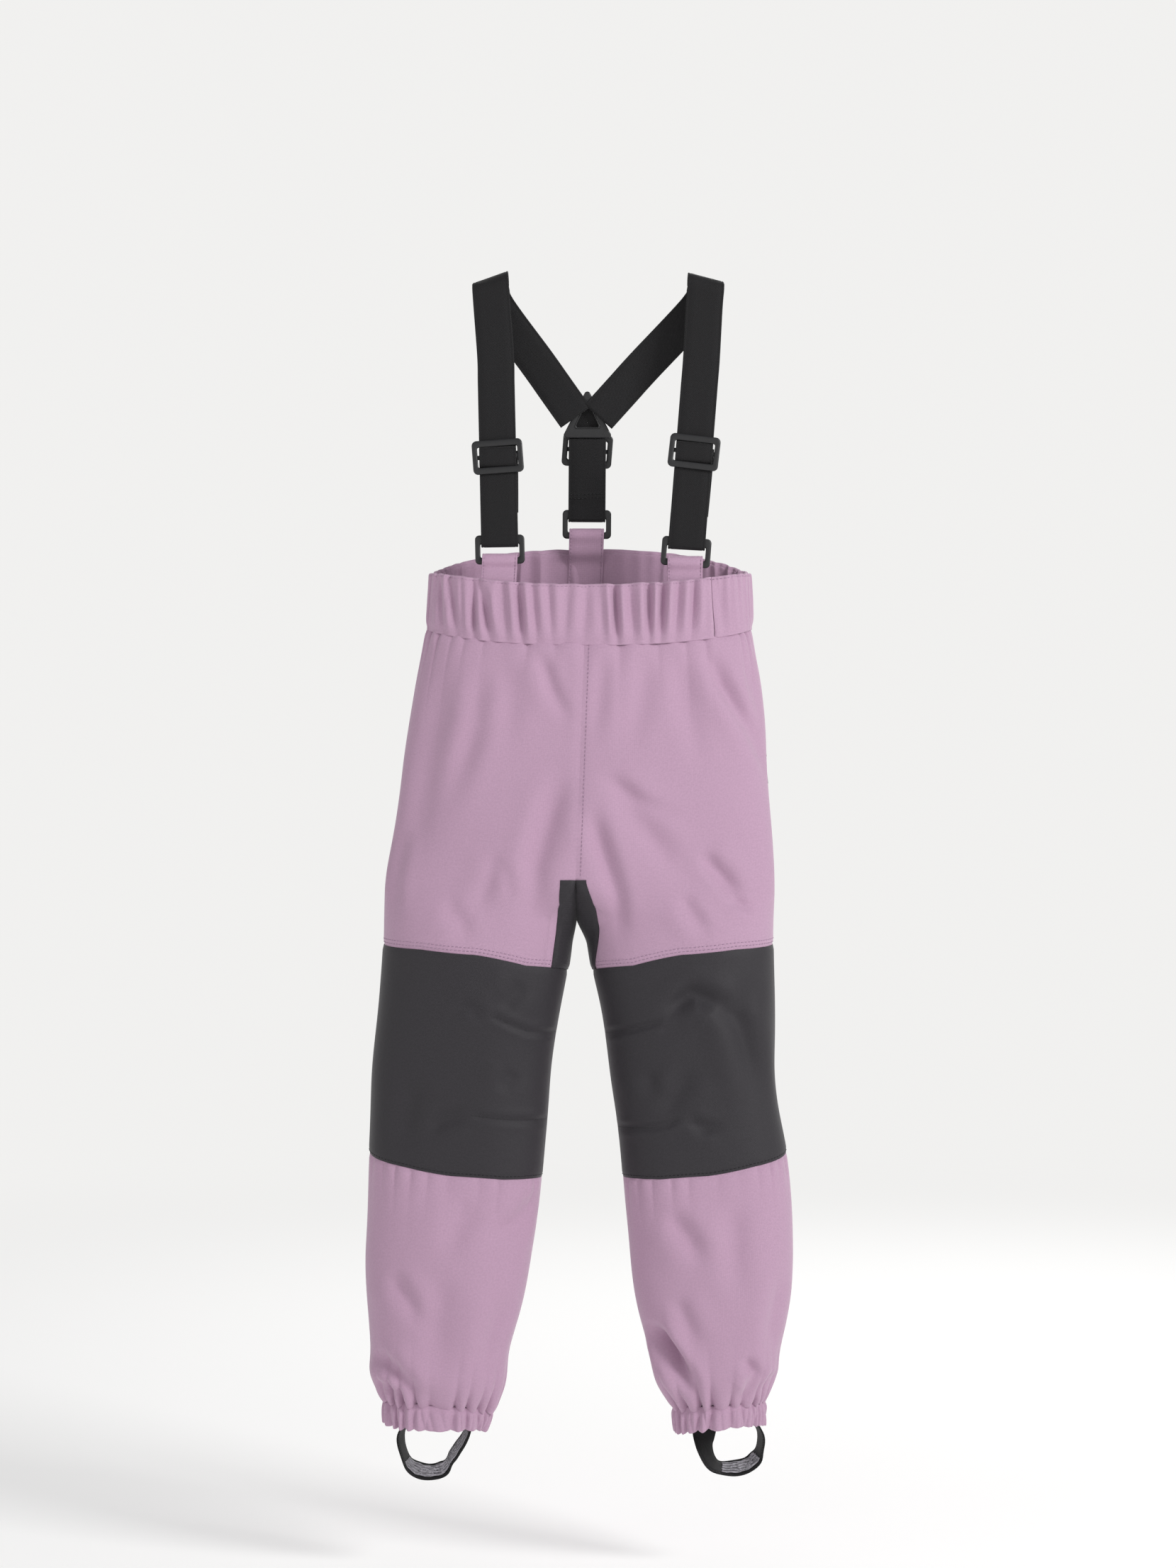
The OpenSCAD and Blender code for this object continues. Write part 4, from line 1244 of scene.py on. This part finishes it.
# the braces: round the ring's bar, up the front, over the shoulder and down to the yoke
yoke_low, yoke_high = (np.array(p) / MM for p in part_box("yoke"))
yoke_end_z = (yoke_low[2] + yoke_high[2]) / 2 + 4
for which, roll, back_roll, end_x in (("right", 20, 34, -14.0), ("left", -15, -38, 13.0)):
    run, slider = RUNS[which], SLIDERS[which]
    strap = node_points(f"shoulder_strap_{which}")
    top_x = strap[strap[:, 2] > -6][:, 0].mean()
    length = float(np.linalg.norm(np.array([0, -11, -60]) - run.origin * [0, 1, 1]))
    straight = [(0, -LAYER, z) for z in (45, 70, 95, 120, 145, length - 6)]
    rows = [(*p, 0.0) for p in run.at(fold_round_bar(41) + straight)]
    rows += [(top_x * 0.985, -9.6, -26, roll * 0.55)]
    rows += [(top_x, -9 * math.cos(a), 9 * (math.sin(a) - 1), roll) for a in np.radians(range(0, 181, 30))]
    rows += [(top_x * 0.93, 11, -24, back_roll)]
    end = np.array([end_x, yoke_low[1] - 0.6, yoke_end_z])
    away = unit([top_x * 0.93 - end[0], 0, -22 - end[2]])
    rows += [(*(end + away * k), back_roll) for k in (48, 24, 4, -7)]
    path = curve_through(rows, 2.5)
    roll_at, path = np.radians(path[:, 3]), path[:, :3]
    across = np.stack([np.cos(roll_at), 0 * roll_at, np.sin(roll_at)], -1)
    near = np.linspace(0, 1, len(path)) < 0.4
    across[near] = run.x * 0.7 + across[near] * 0.3
    made = ribbon(f"shoulder_strap_{which}_webbing", path, across, WEB, WEB_T)
    dress(made, *WEBBING, ("trousers", f"ring_{which}", along_run(run, 42, 27)),
          [f"shoulder_strap_{which}", f"strap_fold_{which}"])
    web_sheet(path)
    # the end that comes back up, a little off the line, and is sewn round the slider's middle bar
    up = np.array([(0.6, LAYER, z) for z in np.arange(40.0, slider + 6, 2.5)])
    up[:, 0] += 0.7 * np.sin((up[:, 2] - 40) / 30)
    path = run.at(up)
    made = ribbon(f"strap_return_{which}_webbing", path, run.x, WEB, WEB_T)
    dress(made, *WEBBING, ("trousers", f"adjuster_{which}", along_run(run, 41, slider - 6)),
          [f"strap_return_{which}"])
    web_sheet(path)

# the back strap, with the sewn seam of its folded end
BACK_WEB = WEB + 0.6
run = RUNS["back"]
top = run.height("back_strap", np.max)
rows = fold_round_bar(38) + [(0, -LAYER - 0.75, 33.0), (0, -LAYER - 0.1, 36.0)]
path = curve_through(run.at(rows + [(0, -LAYER, z) for z in (42, 55, top - 10, top)]), 2.0)
by_ring = ("trousers", "ring_back", along_run(run, 44, 27))
made = ribbon("back_strap_webbing", path, run.x, BACK_WEB, WEB_T)
dress(made, *WEBBING, by_ring, ["back_strap", "strap_fold_back"])
web_sheet(path)
for number, z in enumerate((31.2, 34.2)):
    row = [(x, -LAYER - 1.4, z + 0.5 * math.sin(x / 5)) for x in np.linspace(-14.6, 14.6, 34)]
    stitches(f"back_strap_stitches_{number}", run.at(row), np.tile(-run.y, (34, 1)),
             (dark_thread, "webbing", by_ring), 2.6, 0.5, 0.8)


# ------------------------------------------------------------------ yoke
# A triangle with a window, its base bar holding the back strap
def on_yoke(p):
    p = np.asarray(p, float)
    lean = run.z[1] / run.z[2]
    middle = (yoke_low + yoke_high) / 2
    return np.stack([p[:, 0] + middle[0], p[:, 1] + middle[1] + (p[:, 2] - 18) * lean - 1.0,
                     p[:, 2] + yoke_low[2]], -1)


def triangle(corners, radii):
    """A triangle with rounded corners."""
    points = []
    corners = [np.array(c, float) for c in corners]
    for i, c in enumerate(corners):
        a, b = unit(corners[i - 1] - c), unit(corners[(i + 1) % 3] - c)
        half = math.acos(np.clip(np.dot(a, b), -1, 1)) / 2
        centre = c + unit(a + b) * radii[i] / math.sin(half)
        from_a = -unit(b - a * np.dot(a, b))
        to_b = -unit(a - b * np.dot(a, b))
        for u in np.linspace(0, 1, 10):
            points.append(centre + radii[i] * unit(from_a * (1 - u) + to_b * u + 1e-6 * (a + b)))
    return np.array(points)


plate = frame_mesh("plate", triangle([(0, 41), (-21, 0), (21, 0)], (2.6, 2.4, 2.4)),
                   triangle([(0, 30.5), (-9.8, 8.6), (9.8, 8.6)], (1.0, 1.2, 1.2)), 2.8, on_yoke)
rim = frame_mesh("rim", triangle([(0, 33.2), (-11.6, 7.4), (11.6, 7.4)], (1.4, 1.6, 1.6)),
                 triangle([(0, 30.0), (-9.6, 8.8), (9.6, 8.8)], (1.0, 1.2, 1.2)), 3.8, on_yoke)
dress(merge("yoke_plate", [plate, rim]), *PLASTIC, "trousers", ["yoke"])

# the ends of the two straps, folded back behind the yoke: a triangle filled with ever smaller ones
outline = triangle([(0, 34), (-14.5, 4.5), (14.5, 4.5)], (1.0, 1.0, 1.0))
outline = np.stack([outline[:, 0], 0 * outline[:, 0], outline[:, 1]], -1)
vertices = np.concatenate([on_yoke(outline * (1 - u) + np.array([0, 0, 13.0]) * u) + [0, 3.2, 0]
                           for u in np.linspace(0, 0.998, 7)])
faces = face_out(ring_faces(7, len(outline)), vertices, np.tile([0, -1.0, 0], (len(vertices), 1)))
made = new_object("yoke_strap_ends", vertices, faces)
set_uv(made, vertices[:, [0, 2]] * MM)
dress(made, *WEBBING, "trousers")
thicken(made, WEB_T, smooth=True)


# ------------------------------------------------------------------ tabs that hold the rings
TAB_W = 28.6
TAB_T = 1.3
FOLD = [(-4.2, -1.0), (-4.1, 1.6), (-3.0, 4.1), (-1.6, 5.3), (0, 5.6)]     # (y, z) round a ring's bar


def surface_y(phi, z, lift):
    """Depth of the waistband's inside or outside at angle phi and height z."""
    phi = np.array([phi])
    share = (z - waist_seam(phi)) / (waist_top(phi) - waist_seam(phi))
    return band_point(phi, share, 0.0, lift)[0, 1]


def tab_mesh(name, centre_x, lean, front, back):
    """A strip of doubled shell folded over the ring: front and back are (y, z) from the fold down."""
    path = curve_through([(0, y, z) for y, z in front[::-1] + back], 1.6)
    path[:, 0] = centre_x + (path[:, 2] - path[:, 2].max()) * lean
    made = ribbon(f"{name}_cloth", path, [1.0, 0, 0], TAB_W, TAB_T)
    dress(made, *SHELL, "trousers", [name])
    web_sheet(path)
    visible = path[:np.argmax(path[:, 2]) - 1]
    for number, x in enumerate((-TAB_W / 2 + 1.6, TAB_W / 2 - 1.6)):
        row = visible + [x, 0, 0]
        out = np.cross(np.gradient(row, axis=0), [1, 0, 0])
        out *= np.where(out[:, 1:2] > 0, -1, 1)
        out /= np.linalg.norm(out, axis=1, keepdims=True)
        stitches(f"{name}_cloth_stitches_{number}", row + out * 0.6, out, (*THREAD, "trousers"),
                 2.1, 0.9, 0.5)


for which, lean in (("left", 0.02), ("right", 0.05), ("back", 0.03)):
    x0, y0, z0 = RUNS[which].origin
    front = [(y0 + y, z0 + z) for y, z in FOLD[::-1]]
    back = [(y0 - y, z0 + z) for y, z in FOLD[-2::-1]]
    if which == "back":
        inside, outside = surface_y(90.0, -228.0, -5.6), surface_y(90.0, -228.0, 2.2)
        front += [(y0 - 2.3, z0 - 6), (y0 - 0.6, z0 - 14), (inside - 1.2, -230), (inside, -240),
                  (inside, -254)]
        back += [(y0 + 4.6, z0 - 4), (outside - 1, z0 - 9), (outside + 0.6, -224),
                 (outside + 0.8, -236), (outside + 0.8, -250)]
        name = "back_tab"
    else:
        phi = 360 - math.degrees(math.acos(np.clip(x0 / 128, -1, 1)))
        inside = surface_y(phi, -262.0, -5.4) + 1.0
        middle = (y0 + inside) / 2
        front += [(y0 - 2.4, z0 - 6), (middle - 2, z0 - 12), (inside, -252), (inside, -262), (inside, -274)]
        back += [(y0 + 2.4, z0 - 6), (middle + 1.6, z0 - 12), (inside + 1.9, -252), (inside + 1.9, -262),
                 (inside + 1.9, -272)]
        name = f"front_tab_{which}"
    tab_mesh(name, x0, lean, front, back)


# ------------------------------------------------------------------ stirrups
# Edges of each loop as seen from the front, (x, z) from its pivot; the outer edge is the nearer one.
LOOPS = {
    "right": ([(-25, 1), (-29, -5), (-31, -12), (-29, -22), (-23, -37), (-15.4, -43.5), (-4, -45),
               (6, -42.7), (12, -34.7), (17, -27), (24.5, -16), (28.5, -6), (29, 1)],
              [(-21.5, 1), (-24.5, -5), (-26, -11), (-25, -20.5), (-20.4, -29.7), (-9, -34.7), (1, -34.7),
               (9.6, -29.7), (14.5, -21), (19, -14), (22, -9), (25, -3), (26, 1)]),
    "left": ([(-25.5, 1), (-25.2, -6), (-24, -13), (-21, -22), (-14.8, -33.5), (-7.3, -39), (6.5, -42),
              (19, -39.7), (27.7, -33.5), (32.5, -20), (33.2, -11), (30.5, -4), (28, 1)],
             [(-5.5, 1), (-5.6, -6), (-6.8, -13), (-8.4, -20), (-6.6, -28.5), (-1, -33.5), (11.4, -32),
              (21.4, -28.5), (28, -20), (29, -13), (28, -7), (25.5, -2), (23, 1)]),
}
GRIP_SHARE = {"right": (0.30, 0.94), "left": (0.42, 0.74)}     # the part of the loop with grip yarns
STIRRUP_W = 20.0
STIRRUP_T = 1.4
for side in SIDES:
    outer, inner = (np.array(e, float) for e in LOOPS[side])
    middle, half = (outer + inner) / 2, (outer - inner) / 2
    seen = curve_through(np.stack([middle[:, 0], 0 * middle[:, 0], middle[:, 1], *half.T], 1), 1.8)
    # what the width doesn't show from the front, it goes in depth
    length = np.linalg.norm(seen[:, 3:], axis=1, keepdims=True)
    shown = np.minimum(length, STIRRUP_W / 2 - 0.3)
    half = seen[:, 3:] / length * shown
    across = np.concatenate([half[:, :1], -np.sqrt(STIRRUP_W**2 / 4 - shown**2), half[:, 1:]], 1)
    path = seen[:, :3] + pivot(f"stirrup_swing_{side}")
    made = ribbon(f"stirrup_{side}_webbing", path, across, STIRRUP_W, STIRRUP_T)
    dress(made, *WEBBING, f"stirrup_{side}", [f"stirrup_{side}"])
    web_sheet(path)
    # pale grip yarns woven along the inner face, where the foot rests
    wide, up = square_on(path, across)
    first, last = (int(len(path) * share) for share in GRIP_SHARE[side])
    kept = np.arange(first, last)
    yarns = []
    for number, off in enumerate((-4.8, -1.6, 1.6, 4.8)):
        wave = off + 0.45 * np.sin(kept * 1.35 + number)
        line = path[kept] + wide[kept] * wave[:, None] - up[kept] * 0.85
        yarns.append(ribbon("yarn", line, wide[kept], 1.1, 0.4))
    dress(merge(f"stirrup_{side}_grip", yarns), grip, "elastic", f"stirrup_{side}")
    ends = []
    for end, inward in ((0, -1), (-1, 1)):
        line = path[end] + np.array([(0.0, 0, z) for z in (5.5, 8, 10.5, 13, 15)])
        line[:, 0] += np.array([0, 0, 0.2, 0.4, 0.6]) * inward
        ends.append(ribbon("end", line, across[end] * [1, 1, 0], STIRRUP_W - 1, STIRRUP_T))
    dress(merge(f"stirrup_anchor_{side}_webbing", ends), *WEBBING, f"shin_{side}",
          [f"stirrup_anchor_{side}"])


def zip_frame(side):
    """Axes of a pocket zip: x out of the hip, y round it, z up, from the lower stop."""
    z = unit(joint(f"zip_slide_{side}")["axis"])
    y = unit(joint(f"zip_pull_swing_{side}")["axis"]) * -SIDES[side]
    x = np.cross(y, z)
    x *= np.sign(x[0]) * SIDES[side]
    return Local(pivot(f"zip_pull_swing_{side}") - x * 7.0 - z * 5.0, x, y, z)


def box_mesh(low, high, place, bevel):
    """A moulded block with softened edges from its low and high corners."""
    points = [(x, y, z) for x in (low[0], high[0]) for y in (low[1], high[1]) for z in (low[2], high[2])]
    faces = [(0, 1, 3, 2), (4, 6, 7, 5), (0, 4, 5, 1), (2, 3, 7, 6), (0, 2, 6, 4), (1, 5, 7, 3)]
    made = new_object("block", place(np.array(points)), faces)
    edit_mesh(made, bevel)
    return made


def strip_of(at, rows, zs):
    """A grid up the zip from rows of (x, y)."""
    return np.array([at.at(np.stack(np.broadcast_arrays(x, y, zs), -1)) for x, y in rows])


zs = np.linspace(-6, 92, 50)
for side in SIDES:
    zipper = zip_frame(side)
    rows = [(0.3, -6), (0.7, -3), (0.8, -0.4), (0.8, 0.4), (0.7, 3), (0.3, 6)]
    grid = strip_of(zipper, rows, zs)
    made = skin_mesh(f"zip_tape_{side}_cloth", grid, np.tile(zipper.x, (grid.size // 3, 1)), 0.6,
                     (tape, "zip_tape", "trousers", [f"zip_tape_{side}"]))
    teeth = []
    for number, z in enumerate(np.arange(0.5, 88, 1.6)):
        y = 0.55 * (-1) ** number
        teeth.append(box_mesh((0.7, y - 1.3, z), (1.6, y + 1.3, z + 0.95), zipper.at, 0.2))
    for z in (88.6, -2.6):
        teeth.append(box_mesh((0.7, -2.2, z), (1.9, 2.2, z + 1.8), zipper.at, 0.3))
    dress(merge(f"zip_teeth_{side}", teeth), plastic, "zip_tape", "trousers")
    blocks = [box_mesh(low, high, zipper.at, bevel) for low, high, bevel in (
        ((1.7, -3.9, 0.2), (4.0, 3.9, 9.6), 0.9), ((3.9, -3.1, 1.6), (7.9, -2.0, 8.2), 0.4),
        ((3.9, 2.0, 1.6), (7.9, 3.1, 8.2), 0.4), ((6.4, -2.8, 4.4), (7.6, 2.8, 5.6), 0.4))]
    dress(merge(f"zip_slider_{side}_body", blocks), metal, "zip_metal", f"zip_slider_{side}",
          [f"zip_slider_{side}"])

    def on_pull(p, zipper=zipper):
        return zipper.at(np.stack([7.0 + p[:, 1], p[:, 0], p[:, 2] + 0.6], -1))

    eye = frame_mesh("eye", rounded_loop(4.4, 5.4, 2.0, (0, 4.0)), rounded_loop(2.2, 3.0, 0.9, (0, 4.2)),
                     1.3, on_pull)
    tag = box_mesh((6.4, -2.1, -21.0), (7.6, 2.1, 2.6), zipper.at, 0.5)
    dress(merge(f"zip_pull_{side}_tag", [eye, tag]), plastic, "zip_tape", f"zip_pull_{side}",
          [f"zip_pull_{side}"])
    # welts of shell cloth from the garment up to the zip
    candidates = np.linspace(2, 75, 220)
    for name, s in (("front", -1), ("back", 1)):
        goal, = strip_of(zipper, [(0.5, s * 10.5)], zs)
        skin = point(side, candidates[:, None], goal[None, :, 2], 0.25)
        t = even(candidates[np.argmin(np.linalg.norm(skin - goal[None], axis=-1), axis=0)], 4)
        rows = [(0.9, s * 1.9), (2.0, s * 2.3), (2.3, s * 3.4), (1.9, s * 6.0)]
        edges = [point(side, t, goal[:, 2], lift)[None] for lift in (0.25, -1.6)]
        grid = np.concatenate([strip_of(zipper, rows, zs), *edges])
        made = skin_mesh(f"pocket_welt_{name}_{side}", grid, np.tile(zipper.x, (grid.size // 3, 1)), 0.9,
                         (*SHELL, "trousers"))
    t, z = np.broadcast_arrays(np.linspace(-76, 26, 36)[:, None], np.linspace(-300, -425, 34)[None])
    made = skin_mesh(f"pocket_bag_{side}_cloth", point(side, t, z, -(CLOTH_T + 2.0)),
                     -normal(side, t, z).reshape(-1, 3), 1.0,
                     (lining, "pocket_lining", "trousers", [f"pocket_bag_{side}"]))


# ------------------------------------------------------------------ stage, light and camera
SKY = (0.88, 0.875, 0.865, 1)
CEILING = (0.3, 0.3, 0.31, 1)
FLOOR_R = 30.0         # metres
MIDDLE = Vector((0, 0, -0.5))


def build_stage():
    """A pale floor that fades into the white of the walls a few metres away."""
    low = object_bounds()[0][2] - 0.075
    mesh = bpy.data.meshes.new("floor")
    corners = [(x * FLOOR_R, y * FLOOR_R, low) for x, y in ((-1, -1), (1, -1), (1, 1), (-1, 1))]
    mesh.from_pydata(corners, [], [(0, 1, 2, 3)])
    ground = bpy.data.materials.new("pale floor")
    ground.use_nodes = True
    nodes, links = ground.node_tree.nodes, ground.node_tree.links
    bsdf = next(n for n in nodes if n.type == "BSDF_PRINCIPLED")
    bsdf.inputs["Base Color"].default_value = (0.8, 0.8, 0.79, 1)
    bsdf.inputs["Roughness"].default_value = 0.9
    bsdf.inputs["Emission Color"].default_value = SKY
    bsdf.inputs["Emission Strength"].default_value = 0.27
    glow = nodes.new("ShaderNodeEmission")
    glow.inputs["Color"].default_value = SKY
    where = nodes.new("ShaderNodeTexCoord")
    far = nodes.new("ShaderNodeVectorMath")
    far.operation = "LENGTH"
    fade = nodes.new("ShaderNodeMapRange")
    fade.interpolation_type = "SMOOTHSTEP"
    fade.inputs["From Min"].default_value = 1.2
    fade.inputs["From Max"].default_value = 3.4
    mix = nodes.new("ShaderNodeMixShader")
    links.new(where.outputs["Object"], far.inputs[0])
    links.new(far.outputs["Value"], fade.inputs["Value"])
    links.new(fade.outputs["Result"], mix.inputs["Fac"])
    links.new(bsdf.outputs["BSDF"], mix.inputs[1])
    links.new(glow.outputs["Emission"], mix.inputs[2])
    out = next(n for n in nodes if n.type == "OUTPUT_MATERIAL")
    links.new(mix.outputs["Shader"], out.inputs["Surface"])
    mesh.materials.append(ground)
    add("floor", mesh)


def build_world():
    """White walls all round at the height of the garment, a dimmer ceiling."""
    world = bpy.data.worlds.new("studio")
    world.use_nodes = True
    nodes, links = world.node_tree.nodes, world.node_tree.links
    where = nodes.new("ShaderNodeTexCoord")
    split = nodes.new("ShaderNodeSeparateXYZ")
    ramp = nodes.new("ShaderNodeValToRGB")
    ramp.color_ramp.interpolation = "EASE"
    for stop, place, colour in zip(ramp.color_ramp.elements, (0.24, 0.55), (SKY, CEILING)):
        stop.position, stop.color = place, colour
    links.new(where.outputs["Generated"], split.inputs["Vector"])
    links.new(split.outputs["Z"], ramp.inputs["Fac"])
    links.new(ramp.outputs["Color"], nodes["Background"].inputs["Color"])
    bpy.context.scene.world = world


def area_light(name, place, size, watts):
    data = bpy.data.lights.new(name, "AREA")
    data.size, data.energy = size, watts
    lamp = add(name, data)
    lamp.location = place
    lamp.rotation_euler = (MIDDLE - Vector(place)).to_track_quat("-Z", "Y").to_euler()


def build_camera():
    data = bpy.data.cameras.new("camera")
    data.sensor_width = 36
    data.lens = 84.6
    camera = add("camera", data)
    camera.location = (0, -3.0, -0.412)
    camera.rotation_euler = (math.pi / 2, 0, 0)
    bpy.context.scene.camera = camera


build_stage()
build_world()
area_light("key", (2.2, -1.9, 1.1), 1.0, 62)
area_light("fill", (-2.4, -2.2, 0.2), 1.4, 9)
area_light("rim", (0.8, 2.4, 0.9), 1.4, 34)
build_camera()
bpy.context.scene.view_settings.view_transform = "Standard"
